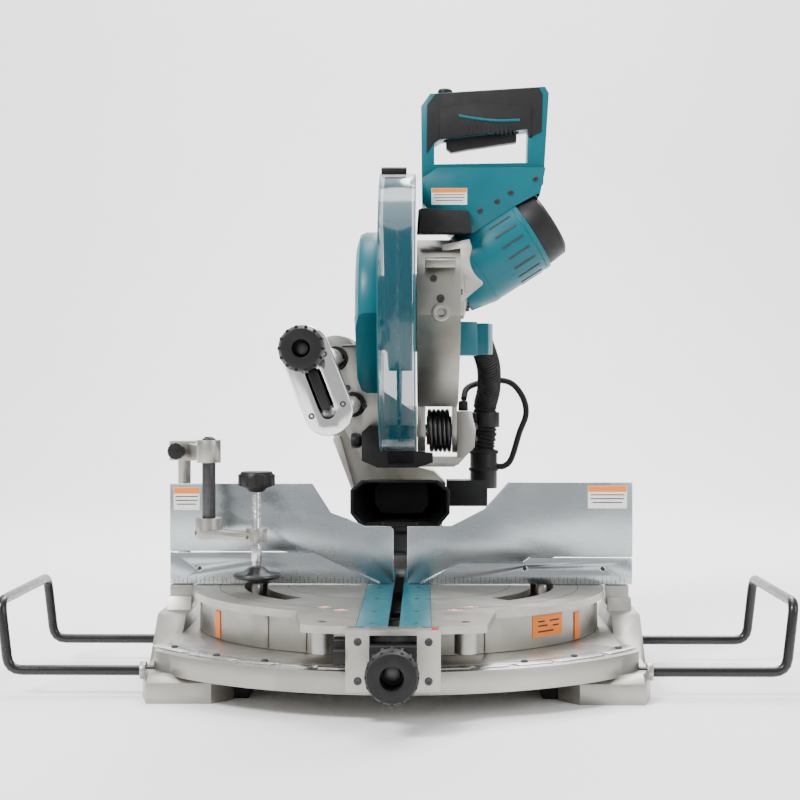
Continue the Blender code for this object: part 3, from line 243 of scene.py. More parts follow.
def moulded(name, low, high, rough=(0.34, 0.46), grain=0.10, coat=0.0, wear_and_edge_highlight=(1.5, 0.25)):
    """Moulded plastic or rubber: faint colour drift, spark-eroded grain, lighter edges that are part wear,
    part painted highlight.
    """
    n = Nodes(name)
    n.shader.inputs["Specular IOR Level"].default_value = 0.28
    n.shader.inputs["Coat Weight"].default_value = coat
    n.shader.inputs["Coat Roughness"].default_value = 0.18
    tone = n.mix(n.span(n.noise(16.0), 0.0, 1.0), low, high)
    # convex edges lightened: scuffing plus a painted edge highlight
    tone = n.wear_and_edge_highlight(tone, tuple(min(1.0, c * wear_and_edge_highlight[0] + 0.01) for c in high), wear_and_edge_highlight[1])
    grit = n.noise(900.0, detail=2.0)
    swell = n.bump(n.noise(30.0), 0.05, 0.0008)
    return n.wire(tone, n.span(n.noise(55.0), *rough), n.bump(grit, grain, 0.00025, swell))


def tinted_clear(name, colour, alpha):
    """Clear tinted polycarbonate with light scuffs."""
    n = Nodes(name)
    n.shader.inputs["Alpha"].default_value = alpha
    n.shader.inputs["IOR"].default_value = 1.58
    n.shader.inputs["Coat Weight"].default_value = 0.6
    n.shader.inputs["Coat Roughness"].default_value = 0.05
    tone = n.mix(n.span(n.noise(12.0), 0.0, 1.0), colour, tuple(c * 0.8 for c in colour))
    scuffs = n.noise(240.0, (1.0, 1.0, 0.06), detail=8.0, rough=0.8)
    return n.wire(tone, n.span(scuffs, 0.06, 0.20), n.bump(scuffs, 0.05, 0.0002))


FINISH = {
    "cast_alloy": cast("cast_alloy", (0.27, 0.258, 0.232), (0.40, 0.385, 0.352), metallic=0.92,
                       rough=(0.30, 0.46)),
    "machined_alloy": brushed("machined_alloy", (0.34, 0.38, 0.40), (0.52, 0.56, 0.58), (0.6, 8.0, 22.0)),
    "steel": brushed("steel", (0.52, 0.52, 0.52), (0.68, 0.68, 0.68), (8.0, 1.0, 8.0)),
    "dark_steel": brushed("dark_steel", (0.055, 0.055, 0.06), (0.10, 0.10, 0.105), (3.0, 3.0, 3.0),
                          rough=(0.32, 0.48)),
    "chrome": brushed("chrome", (0.66, 0.66, 0.655), (0.78, 0.78, 0.775), (2.0, 14.0, 2.0),
                      rough=(0.08, 0.20), grain=0.03),
    "black_plastic": moulded("black_plastic", (0.004, 0.004, 0.0045), (0.008, 0.008, 0.0085),
                             rough=(0.38, 0.52)),
    "black_rubber": moulded("black_rubber", (0.006, 0.006, 0.0062), (0.011, 0.011, 0.0115),
                            rough=(0.58, 0.78), grain=0.20),
    "black_rod": moulded("black_rod", (0.005, 0.005, 0.0055), (0.010, 0.010, 0.011), rough=(0.22, 0.36),
                         grain=0.06, coat=0.3),
    "teal_plastic": moulded("teal_plastic", (0.0, 0.085, 0.112), (0.0, 0.108, 0.138), rough=(0.30, 0.42),
                            wear_and_edge_highlight=(1.25, 0.3)),
    "clear_teal": tinted_clear("clear_teal", (0.0, 0.075, 0.105), 0.48),
    "copper": brushed("copper", (0.45, 0.18, 0.08), (0.60, 0.27, 0.13), (1.0, 12.0, 12.0)),
}
LOOKS = {
    "orange": moulded("orange_paint", (0.78, 0.17, 0.008), (0.88, 0.22, 0.015), rough=(0.38, 0.50)),
    "white": moulded("white_label", (0.72, 0.72, 0.70), (0.82, 0.82, 0.80), rough=(0.35, 0.45),
                     wear_and_edge_highlight=(1.0, 0.0)),
    "red": moulded("red_paint", (0.48, 0.015, 0.02), (0.60, 0.025, 0.03)),
    "ink": moulded("ink", (0.02, 0.02, 0.022), (0.035, 0.035, 0.038), rough=(0.5, 0.6)),
    "carbide": brushed("carbide", (0.20, 0.20, 0.21), (0.30, 0.30, 0.31), (4.0, 4.0, 4.0)),
    "blade": brushed("blade_plate", (0.09, 0.10, 0.11), (0.22, 0.23, 0.24), (1.0, 10.0, 10.0)),
    "teal_board": moulded("teal_board", (0.0, 0.15, 0.19), (0.0, 0.19, 0.23), rough=(0.20, 0.32), coat=0.3),
}


# ---- solids ------------------------------------------------------------------------------
def finished(bm):
    """Close off a bmesh: outward faces, returned as a loose mesh object."""
    bmesh.ops.recalc_face_normals(bm, faces=bm.faces)
    mesh = bpy.data.meshes.new("solid")
    bm.to_mesh(mesh)
    bm.free()
    obj = bpy.data.objects.new("solid", mesh)
    bpy.context.scene.collection.objects.link(obj)
    return obj


def place(axis, a, b, along):
    """A point from two coordinates across an axis and one along it."""
    if axis == "X":
        return Vector((along, a, b))
    if axis == "Y":
        return Vector((a, along, b))
    return Vector((a, b, along))


def extruded(axis, outline, low, high):
    """An outline across an axis, (y, z), (x, z) or (x, y), pushed from low to high."""
    bm = bmesh.new()
    bottom = [bm.verts.new(place(axis, a, b, low)) for a, b in outline]
    top = [bm.verts.new(place(axis, a, b, high)) for a, b in outline]
    bm.faces.new(bottom)
    bm.faces.new(reversed(top))
    count = len(outline)
    for i in range(count):
        j = (i + 1) % count
        bm.faces.new((bottom[i], top[i], top[j], bottom[j]))
    return finished(bm)


def box(x, y, z):
    return extruded("Z", [(x[0], y[0]), (x[1], y[0]), (x[1], y[1]), (x[0], y[1])], z[0], z[1])


def turned(axis, centre, profile, sides=SIDES, start=0.0):
    """A closed profile of (radius, along) turned about a line; a point on the axis caps the end flat."""
    if sides > 8:
        sides *= FINE
    bm = bmesh.new()
    others = [i for i in range(3) if i != "XYZ".index(axis)]
    a0, b0 = centre[others[0]], centre[others[1]]
    rings = []
    for radius, along in profile:
        if radius < 1e-7:
            rings.append([])
            continue
        angles = [start + 2 * pi * k / sides for k in range(sides)]
        rings.append([bm.verts.new(place(axis, a0 + radius * cos(t), b0 + radius * sin(t), along))
                      for t in angles])
    for here, there in zip(rings, rings[1:] + rings[:1]):
        if not here and not there:
            continue
        if not here or not there:
            bm.faces.new(here or there)
            continue
        for k in range(sides):
            n = (k + 1) % sides
            bm.faces.new((here[k], here[n], there[n], there[k]))
    return finished(bm)


def disc(axis, centre, radius, low, high, sides=SIDES):
    return turned(axis, centre, [(0, low), (radius, low), (radius, high), (0, high)], sides)


def ring(axis, centre, inner, outer, low, high, sides=SIDES):
    return turned(axis, centre, [(inner, low), (outer, low), (outer, high), (inner, high)], sides)


def rod(start, end, radius, sides=16):
    """A round bar between two points."""
    start, end = Vector(start), Vector(end)
    line = end - start
    obj = disc("Z", (0, 0, 0), radius, 0.0, line.length, sides)
    obj.data.transform(Matrix.Translation(start) @ line.to_track_quat("Z", "Y").to_matrix().to_4x4())
    return obj


def hull(points):
    """The convex solid round a few points."""
    bm = bmesh.new()
    for point in points:
        bm.verts.new(point)
    result = bmesh.ops.convex_hull(bm, input=bm.verts)
    loose = [v for v in result["geom_interior"] if isinstance(v, bmesh.types.BMVert)]
    bmesh.ops.delete(bm, geom=loose, context="VERTS")
    bmesh.ops.dissolve_limit(bm, angle_limit=radians(0.5), verts=bm.verts, edges=bm.edges)
    return finished(bm)


def arc(centre, radius, start, end, steps):
    """Points on an arc, angles in degrees counter-clockwise from the first coordinate."""
    steps *= FINE
    turn = [radians(start + (end - start) * k / steps) for k in range(steps + 1)]
    return [(centre[0] + radius * cos(t), centre[1] + radius * sin(t)) for t in turn]


def swept(path, radius, sides=10):
    """A bent round bar: a curve with a round bevel and filled caps, turned into a mesh."""
    curve = bpy.data.curves.new("bar", "CURVE")
    curve.dimensions = "3D"
    curve.bevel_depth = radius
    curve.bevel_resolution = max(0, sides * FINE // 2 - 2)
    curve.use_fill_caps = True
    spline = curve.splines.new("POLY")
    spline.points.add(len(path) - 1)
    for point, where in zip(spline.points, path):
        point.co = (*where, 1.0)
    guide = bpy.data.objects.new("bar", curve)
    bpy.context.scene.collection.objects.link(guide)
    mesh = bpy.data.meshes.new_from_object(guide.evaluated_get(bpy.context.evaluated_depsgraph_get()))
    bpy.data.objects.remove(guide)
    bm = bmesh.new()
    bm.from_mesh(mesh)
    bmesh.ops.remove_doubles(bm, verts=bm.verts, dist=1e-6)
    return finished(bm)


def rounded_path(corners, radius, steps=4):
    """A polyline with each inner corner rounded off."""
    corners = [Vector(c) for c in corners]
    path = [corners[0]]
    for before, corner, after in zip(corners, corners[1:], corners[2:]):
        into = corner + (before - corner).normalized() * radius
        out = corner + (after - corner).normalized() * radius
        for k in range(steps + 1):
            t = k / steps
            path.append(into * (1 - t) ** 2 + corner * 2 * t * (1 - t) + out * t ** 2)
    path.append(corners[-1])
    return path


def smooth_path(points, step):
    """A smooth curve through the points, cut into even steps."""
    points = [Vector(p) for p in points]
    points = [2 * points[0] - points[1]] + points + [2 * points[-1] - points[-2]]
    fine = []
    for p0, p1, p2, p3 in zip(points, points[1:], points[2:], points[3:]):
        for k in range(24):
            t = k / 24
            fine.append(0.5 * (2 * p1 + (p2 - p0) * t + (2 * p0 - 5 * p1 + 4 * p2 - p3) * t * t
                               + (3 * p1 - p0 - 3 * p2 + p3) * t ** 3))
    fine.append(points[-2])
    path, run = [fine[0]], 0.0
    for a, b in zip(fine, fine[1:]):
        run += (b - a).length
        if run >= step:
            path.append(b)
            run = 0.0
    if (path[-1] - fine[-1]).length < step * 0.4:
        path.pop()
    path.append(fine[-1])
    return path


def merged(adds, cuts=()):
    """Union of the first list less the second, as one loose solid; the operands are used up."""
    base = adds[0]
    used = list(adds[1:]) + list(cuts)
    for kind, pieces in (("UNION", adds[1:]), ("DIFFERENCE", cuts)):
        for piece in pieces:
            boolean = base.modifiers.new(kind.lower(), "BOOLEAN")
            boolean.operation = kind
            boolean.solver = "EXACT"
            boolean.object = piece
    deps = bpy.context.evaluated_depsgraph_get()
    mesh = bpy.data.meshes.new_from_object(base.evaluated_get(deps))
    bm = bmesh.new()
    bm.from_mesh(mesh)
    bmesh.ops.remove_doubles(bm, verts=bm.verts, dist=2e-6)
    bmesh.ops.dissolve_limit(bm, angle_limit=radians(0.2), verts=bm.verts, edges=bm.edges)
    for obj in [base] + used:
        bpy.data.objects.remove(obj)
    return finished(bm)


# ---- pieces ------------------------------------------------------------------------------


def soften(obj, width, segments=2):
    """Real rounded edges: a bevel on the sharp edges."""
    bevel = obj.modifiers.new("edges", "BEVEL")
    bevel.width = width
    bevel.segments = segments
    bevel.limit_method = "ANGLE"
    bevel.angle_limit = radians(38)
    bevel.use_clamp_overlap = True
    deps = bpy.context.evaluated_depsgraph_get()
    mesh = bpy.data.meshes.new_from_object(obj.evaluated_get(deps))
    obj.modifiers.clear()
    obj.data = mesh


def dressed(obj, name, finish, edge=0.0):
    """Names a solid, rounds its edges, smooths it and gives it its finish."""
    obj.name = name
    if edge:
        soften(obj, edge)
    obj.data.name = name
    obj.data.materials.clear()
    obj.data.materials.append(FINISH.get(finish) or LOOKS[finish])
    obj.data.shade_smooth()
    obj.data.set_sharp_from_angle(angle=radians(35))
    return obj


EDGES = {
    "base_casting": 0.0016, "turntable": 0.0, "fixed_fence_left": 0.0005, "fixed_fence_right": 0.0005,
    "sliding_fence_left": 0.0007, "sliding_fence_right": 0.0007, "vise_bracket": 0.0012,
    "vise_arm": 0.0010, "vise_pad": 0.0006, "bevel_arm": 0.0025, "carriage": 0.0018,
    "gear_housing": 0.0020, "handle": 0.0030, "grip_overmould": 0.0012, "head_bumper": 0.0015,
    "hose_port": 0.0020, "blade_case": 0.0007, "blade_side_cover": 0.0012, "lower_guard": 0.0006,
    "guard_end_roller": 0.0010, "dust_hood": 0.0016, "dust_elbow": 0.0020, "rail_front_cap": 0.0022,
    "bevel_release_lever": 0.0012, "detent_lever": 0.0012, "grip_bracket": 0.0010,
    "kerf_board_left": 0.0004, "kerf_board_right": 0.0004, "trigger": 0.0012,
}


class Kit:
    """Makes each CAD piece again in finer form, in its place, riding on its body."""

    def add(self, name, body, finish, adds, cuts=()):
        solid = merged(adds, cuts) if len(adds) > 1 or cuts else adds[0]
        dressed(solid, "shown_" + name, finish, EDGES.get(name, 0.0005))
        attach(solid, body)
        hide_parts(name)
        return solid


def detail(name, body, finish, solids, edge=0.0, cuts=()):
    """A small part that the CAD leaves out, riding on a body. The solids are joined, not united."""
    obj = merged(solids[:1], cuts) if cuts else solids[0]
    rest = solids[1:]
    if rest:
        bm = bmesh.new()
        bm.from_mesh(obj.data)
        for other in rest:
            bm.from_mesh(other.data)
            bpy.data.objects.remove(other)
        bm.to_mesh(obj.data)
        bm.free()
    dressed(obj, name, finish, edge)
    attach(obj, body)
    return obj


def oriented(solid, at, direction, roll=0.0):
    """Moves a solid made at the origin along +Z to a place, pointing a direction."""
    turn = Vector(direction).normalized().to_track_quat("Z", "Y").to_matrix().to_4x4()
    solid.data.transform(Matrix.Translation(Vector(at)) @ turn @ Matrix.Rotation(roll, 4, "Z"))
    return solid


def screw(at, direction, radius=0.0042, height=0.0022, socket="hex"):
    """A pan or socket head screw with its recess, sunk a hair into the face."""
    head = turned("Z", (0, 0, 0), [(0, -0.0012), (radius, -0.0012), (radius, height * 0.6),
                                   (radius * 0.82, height), (0, height)], 28)
    if socket == "hex":
        recess = disc("Z", (0, 0, 0), radius * 0.5, height * 0.25, height + 0.002, 6)
        head = merged([head], [recess])
    else:
        long, short = (-radius * 0.6, radius * 0.6), (-radius * 0.13, radius * 0.13)
        arms = [box(long, short, (height * 0.35, height + 0.002)),
                box(short, long, (height * 0.36, height + 0.002))]
        head = merged([head], arms)
    return oriented(head, at, direction, roll=radius * 900)


def plate(at, direction, width, height, thick, lift=0.0):
    """A thin flat tag centred on a point of a face."""
    tag = box((-width / 2, width / 2), (-height / 2, height / 2), (lift, lift + thick))
    return oriented(tag, at, direction)


def mirrored(points):
    return [(-x, y) for x, y in reversed(points)]


# ---- base --------------------------------------------------------------------------------
def make_base(kit):
    front = 90 - degrees(asin(BASE_HALF / APRON_R))
    outline = arc((0, 0), APRON_R, -180 + front, -front, 14)
    outline += [(BASE_HALF, 0.150)] + arc((0, 0), 0.285, 38, 142, 8) + [(-BASE_HALF, 0.150)]
    adds = [extruded("Z", outline, APRON_Z, FLANGE_Z)]
    adds.append(disc("Z", (0, 0, 0), 0.055, 0.0, APRON_Z + 0.002, 24))
    cuts = []
    for side in (-1, 1):
        x_in, x_out = side * 0.186, side * 0.2520
        foot = [(x_in, -0.229), (x_out, -0.229), (side * 0.262, -0.190), (side * 0.262, -0.070),
                (side * 0.168, -0.110), (side * 0.166, -0.205)]
        low = [(x, y, z) for x, y in foot for z in (0.0, 0.021)]
        crown = [(x * 0.995, y + 0.012 if y < -0.2 else y, 0.029) for x, y in foot]
        adds.append(hull(low + crown))
        adds.append(hull([(side * x, y, z) for x, y, z in (
            (0.236, -0.130, 0.020), (0.266, -0.130, 0.020), (0.238, -0.052, 0.064),
            (0.2715, -0.040, 0.064), (0.2715, 0.074, 0.064), (0.238, 0.074, 0.064),
            (0.274, -0.045, 0.0), (0.274, 0.074, 0.0), (0.234, 0.074, 0.0), (0.236, -0.06, 0.0))]))
        adds.append(hull([(side * x, y, z) for x in (TOWER_IN + 0.001, TOWER_OUT)
                          for y, z in ((-0.012, 0.06), (0.060, 0.06), (-0.004, 0.0785),
                                       (0.056, 0.0785))]))
        adds.append(box(sorted((side * TOWER_IN, side * (TOWER_OUT - 0.002))), (0.0, 0.040),
                        (0.07, TABLE_Z - 0.0005)))
        rear = [(side * 0.160, 0.175), (side * 0.262, 0.120), (side * 0.262, 0.205),
                (side * 0.180, 0.215)]
        adds.append(hull([(x, y, z) for x, y in rear for z in (0.0, 0.030)]))
        cuts.append(disc("Z", (side * 0.232, -0.165, 0), 0.0045, -0.01, 0.08, 16))
        cuts.append(turned("Z", (side * 0.232, -0.165, 0),
                           [(0, 0.016), (0.007, 0.016), (0.0145, 0.032), (0, 0.032)], 20))
        cuts.append(disc("Z", (side * 0.225, 0.165, 0), 0.0045, -0.01, 0.08, 16))
        for y in BAR_Y:
            bore = sorted((side * 0.055, side * 0.30))
            cuts.append(disc("X", (0, y, BAR_Z), BAR_R + GAP, *bore, 14))
    cuts.append(disc("Z", (0, 0, 0), 0.0083, 0.012, 0.06, 16))
    cuts.append(disc("Z", (0, 0, 0), 0.030, APRON_Z + 0.012, 0.06, 24))
    cuts.append(disc("Z", (0, 0, 0), DRUM_R + 0.004, FLANGE_Z + 0.0002, 0.2, 48))
    posts = [disc("Z", (side * POST_X, POST_Y, 0), POST_R, APRON_Z + 0.008, TABLE_Z + 0.0006, 16)
             for side in (-1, 1)]
    kit.add("base_casting", "base", "cast_alloy", [merged(adds, cuts)] + posts)


def make_fences(kit):
    bottom = TABLE_Z + 0.0009
    left = [(-FENCE_END, bottom), (-0.0215, bottom), (-0.0985, LEFT_TOP), (-FENCE_END, LEFT_TOP)]
    right = [(0.0245, bottom), (FENCE_END + 0.004, bottom), (FENCE_END + 0.004, RIGHT_TOP),
             (0.151, RIGHT_TOP), (0.143, 0.1167), (0.070, 0.1167)]
    holes = {"left": [(-0.2305, 0.1103)], "right": [(0.145, 0.1105), (0.2345, 0.1105)]}
    for word, side, outline in (("left", -1, left), ("right", 1, right)):
        plate = extruded("Y", outline, 0.0, FENCE_T)
        sole = box(sorted((side * 0.172, side * FENCE_END)), (0.001, 0.044), (bottom, bottom + 0.006))
        rib = hull([(side * x, y, z) for x in (0.250, 0.258)
                    for y, z in ((0.002, bottom + 0.002), (0.042, bottom + 0.002), (0.002, 0.118))])
        tab = box(sorted((side * (POST_X - 0.008), side * 0.180)), (0.001, 0.018),
                  (bottom, bottom + 0.003))
        cuts = [disc("Y", (x, 0, z), 0.003, -0.01, 0.02, 12) for x, z in holes[word]]
        if side < 0:
            cuts.append(disc("Z", (*VISE_REAR, 0), 0.0085, 0.08, 0.2, 12))
        kit.add(f"fixed_fence_{word}", "base", "machined_alloy", [plate, sole, rib, tab], cuts)
    y0, y1 = FENCE_T + GAP, FENCE_T + GAP + UPPER_T
    low = TABLE_Z + 0.0015
    upper_left = [(-0.265, UPPER_TOP), (-0.265, LEFT_TOP + 0.0008), (-0.135, LEFT_TOP + 0.0008),
                  (-0.100, LEFT_TOP - 0.004), (-0.045, low), (-0.0065, low), (-0.0065, 0.155),
                  (-0.010, 0.1588), (-0.040, 0.1588), (-0.057, 0.166), (-0.079, 0.174),
                  (-0.1006, UPPER_TOP)]
    upper_right = [(0.269, UPPER_TOP + 0.002), (0.269, RIGHT_TOP + 0.0008),
                   (0.180, RIGHT_TOP + 0.0008), (0.143, 0.112), (0.080, 0.112), (0.048, low),
                   (0.0096, low), (0.0096, 0.1588), (0.0605, 0.1588), (0.0985, 0.1786),
                   (0.1266, UPPER_TOP + 0.002)]
    for word, side, outline in (("left", -1, upper_left), ("right", 1, upper_right)):
        plate = extruded("Y", outline, y0, y1)
        guide = box(sorted((side * 0.145, side * 0.240)), (y1 - 0.001, y1 + 0.007), (0.150, 0.162))
        kit.add(f"sliding_fence_{word}", f"sliding_fence_{word}", "machined_alloy", [plate, guide])


def make_extension_bars(kit):
    for side, word in ((-1, "left"), (1, "right")):
        lean = 0.008
        corners = [(side * BAR_X[0], BAR_Y[0], BAR_Z), (side * BAR_X[1], BAR_Y[0], BAR_Z),
                   (side * (BAR_X[1] + lean), BAR_Y[0], BAR_TOP),
                   (side * (BAR_X[1] + lean), BAR_Y[1], BAR_TOP),
                   (side * BAR_X[1], BAR_Y[1], BAR_Z), (side * BAR_X[0], BAR_Y[1], BAR_Z)]
        corners[0] = (side * 0.150, BAR_Y[0], BAR_Z)
        corners[-1] = (side * 0.150, BAR_Y[1], BAR_Z)
        bar = swept(rounded_path(corners, 0.014, 4), BAR_R, 10)
        kit.add(f"extension_bar_{word}", f"extension_bar_{word}", "black_rod", [bar])


def make_vise(kit):
    rx, ry = VISE_REAR
    fx, fy = VISE_FRONT
    sx, sy = VISE_SCREW
    post = disc("Z", (rx, ry, 0), 0.0075, TABLE_Z + 0.0075, 0.2400, 16)
    bracket = hull([(x, y, z) for x, y in ((rx - 0.016, ry - 0.012), (rx + 0.014, ry - 0.014),
                                          (rx + 0.014, ry + 0.014), (rx - 0.016, ry + 0.014))
                    for z in (0.2333, 0.2560)])
    bridge = hull([(x, y, z) for x, y in ((rx + 0.004, ry - 0.010), (rx + 0.013, ry + 0.004),
                                         (fx + 0.011, fy - 0.009), (fx - 0.010, fy - 0.011))
                   for z in (0.2375, 0.2535)])
    collar = disc("Z", (fx, fy, 0), 0.0135, 0.2345, 0.2600, 20)
    kit.add("vise_bracket", "vise", "cast_alloy", [bracket, post, bridge, collar],
            [disc("Z", (fx, fy, 0), 0.0075 + GAP, 0.22, 0.28, 16)])
    kit.add("vise_front_post", "vise", "dark_steel",
            [disc("Z", (fx, fy, 0), 0.0075, 0.1485, 0.2620, 16)])
    arm_side = [(fx, fy + 0.014), (fx - 0.014, fy), (fx - 0.008, fy - 0.014),
                (sx - 0.006, sy - 0.013), (sx + 0.012, sy - 0.006), (sx + 0.010, sy + 0.008)]
    arm = hull([(x, y, z) for x, y in arm_side for z in (0.1500, 0.1590)])
    boss = disc("Z", (fx, fy, 0), 0.0150, 0.1490, 0.1720, 20)
    tip = disc("Z", (sx, sy, 0), 0.0115, 0.1490, 0.1640, 20)
    kit.add("vise_arm", "vise", "cast_alloy", [arm, boss, tip],
            [disc("Z", (fx, fy, 0), 0.0075 + GAP, 0.14, 0.18, 16),
             disc("Z", (sx, sy, 0), 0.0047 + GAP, 0.14, 0.18, 16)])
    head = turned("Y", (rx - 0.0055, 0, 0.2450), [(0, ry - 0.0144), (0.005, ry - 0.0144),
                                                  (0.005, ry - 0.019), (0.0095, ry - 0.021),
                                                  (0.0095, ry - 0.033), (0, ry - 0.033)], 14)
    kit.add("vise_clamp_knob", "vise_clamp", "black_plastic", [head])
    screw = disc("Z", (sx, sy, 0), 0.0047, 0.1215, 0.2040, 14)
    nut = disc("Z", (sx, sy, 0), 0.0060, 0.1270, 0.1450, 12)
    kit.add("vise_screw", "vise_screw", "steel", [screw, nut])
    knob = turned("Z", (sx, sy, 0), [(0, 0.2043), (0.008, 0.2043), (0.0110, 0.2080),
                                     (0.0190, 0.2110), (0.0200, 0.2200), (0.0170, 0.2265),
                                     (0, 0.2275)], 18)
    kit.add("vise_knob", "vise_knob", "black_plastic", [knob])
    pad = turned("Z", (sx, sy, 0), [(0, 0.1085), (0.0240, 0.1085), (0.0262, 0.1105),
                                    (0.0255, 0.1135), (0.0150, 0.1150), (0.0080, 0.1212),
                                    (0, 0.1212)], 24)
    kit.add("vise_pad", "vise_screw", "dark_steel", [pad])


# ---- turntable ---------------------------------------------------------------------------
def slot_cut(side):
    """The arc slot that a fence post passes through over the whole miter range."""
    mid = (SLOT_IN + SLOT_OUT) / 2
    half = (SLOT_OUT - SLOT_IN) / 2
    post = -90 + side * 93.5
    start, end = post - MITER_MAX - 5, post + MITER_MAX + 5
    outline = arc((0, 0), mid + half, start, end, 14) + arc((0, 0), mid - half, end, start, 14)
    return extruded("Z", outline, FLANGE_Z + 0.0002, 0.12)


def make_turntable(kit):
    top = disc("Z", (0, 0, 0), RIM_R, TABLE_Z - TOP_T, TABLE_Z, 48)
    z0 = FLANGE_Z + 2 * GAP
    wall = ring("Z", (0, 0, 0), DRUM_R - 0.006, DRUM_R, z0, TABLE_Z - TOP_T + 0.001, 48)
    floor = ring("Z", (0, 0, 0), 0.0250, DRUM_R - 0.003, z0 + 0.0004, z0 + 0.006, 32)
    hub = ring("Z", (0, 0, 0), 0.0083, 0.0290, APRON_Z + 0.012 + GAP, z0 + 0.0075, 20)
    nose_side = [(-0.104, -0.195), (-0.090, -0.3025)]
    nose = nose_side + arc((0, 0), NOSE_R, -105, -75, 8) + mirrored(nose_side)
    plate = extruded("Z", nose, TABLE_Z - TOP_T + 0.0004, TABLE_Z)
    skirt_z = FLANGE_Z + 0.0045
    adds = [top, wall, floor, hub, plate]
    for side in (-1, 1):
        beam = [(side * 0.037, -0.215), (side * NOSE_HALF, -0.215), (side * NOSE_HALF, -0.3220),
                (side * 0.037, -0.3220)]
        adds.append(hull([(x, y, z) for x, y in beam for z in (skirt_z, TABLE_Z - 0.002)]))
        frame = [(side * 0.0225, -0.3330), (side * NOSE_HALF, -0.3330), (side * NOSE_HALF, -0.3170),
                 (side * 0.0225, -0.3170)]
        adds.append(hull([(x, y, z) for x, y in frame for z in (FRAME_Z, TABLE_Z - 0.0008)]))
        adds.append(disc("Z", (side * 0.070, -0.2860, 0), 0.0115, 0.0620, TABLE_Z - 0.002, 16))
    adds.append(box((-0.0443, 0.0443), (-0.3327, -0.3173), (TABLE_Z - 0.006, TABLE_Z - 0.0014)))
    adds.append(box((-0.0443, 0.0443), (-0.3327, -0.3173), (FRAME_Z + 0.0004, FRAME_Z + 0.004)))
    tail = [(-0.050, 0.215), (0.050, 0.215), (0.050, 0.300), (-0.050, 0.300)]
    adds.append(hull([(x, y, z) for x, y in tail for z in (skirt_z, 0.089)]))
    adds.append(disc("Y", (0, 0, TABLE_Z), 0.042, 0.240, ARM_Y[0] - GAP, 32))
    cuts = [slot_cut(-1), slot_cut(1)]
    cuts.append(box((-BOARD_HALF - GAP, BOARD_HALF + GAP), (BOARD_Y[0] - GAP, BOARD_Y[1] + GAP),
                    (TABLE_Z - BOARD_T - GAP, 0.2)))
    cuts.append(box((-0.026, 0.026), (-0.306, 0.140), (0.0560, 0.2)))
    cuts.append(box((-0.033, 0.033), (-0.3165, -0.222), (0.0450, TABLE_Z - TOP_T)))
    cuts.append(disc("Y", (0, 0, TABLE_Z), 0.014 + GAP, 0.255, 0.34, 20))
    kit.add("turntable", "turntable", "cast_alloy", adds, cuts)
    for side, word in ((-1, "left"), (1, "right")):
        board = [(side * KERF_HALF, BOARD_Y[0]), (side * BOARD_HALF, BOARD_Y[0]),
                 (side * BOARD_HALF, BOARD_Y[1]), (side * KERF_HALF, BOARD_Y[1])]
        kit.add(f"kerf_board_{word}", "turntable", "teal_plastic",
                [extruded("Z", board, TABLE_Z - BOARD_T, TABLE_Z)])
    kit.add("miter_pivot_bolt", "base", "dark_steel",
            [disc("Z", (0, 0, 0), 0.0080, 0.0125, 0.0590, 16),
             disc("Z", (0, 0, 0), 0.0140, 0.0566, 0.0620, 6)])
    bracket = box((-0.0222, 0.0222), (-0.3480, -0.3165), (FRAME_Z + 0.0045, TABLE_Z - 0.0140))
    kit.add("grip_bracket", "turntable", "black_plastic", [bracket],
            [disc("Y", (0, 0, 0.057), 0.0070, -0.36, -0.29, 16)])
    y = -0.3483
    grip = turned("Y", (0, 0, 0.057), [(0, y), (0.0165, y), (0.0180, y - 0.010), (0.0235, y - 0.022),
                                       (0.0250, y - 0.040), (0.0225, y - 0.049), (0.0110, y - 0.049),
                                       (0.0110, y - 0.020), (0, y - 0.020)], 24)
    shank = rod((0, y - 0.002, 0.057), (0, -0.2300, 0.057), 0.006, 12)
    kit.add("miter_grip", "miter_grip", "black_plastic", [grip, shank])
    lever = hull([(x, yy, z) for x, yy in ((-0.056, -0.343), (-0.0455, -0.343), (-0.0455, -0.300),
                                          (-0.056, -0.318))
                  for z in (0.061, 0.0725)])
    stalk = box((-0.0570, -0.0456), (-0.325, -0.300), (0.056, 0.080))
    kit.add("detent_lever", "detent_lever", "black_plastic", [lever, stalk])


# ---- tilting arm, rails and dust hood ----------------------------------------------------
def obround(a, b, radius, y, steps=10):
    """A bar with round ends across the two rail centres, from y[0] to y[1]."""
    points = []
    for x, z in (a, b):
        points += [(px, py, pz) for px, pz in arc((x, z), radius, 0, 330, steps + 1) for py in y]
    return hull(points)


def between_rails(t, across=0.0):
    """A point on the line from the upper rail to the lower one, moved across it."""
    along = Vector(RAIL_LOW) - Vector(RAIL_HIGH)
    normal = Vector((-along.y, along.x)).normalized()
    point = Vector(RAIL_HIGH) + along * t + normal * across
    return (point.x, point.y)


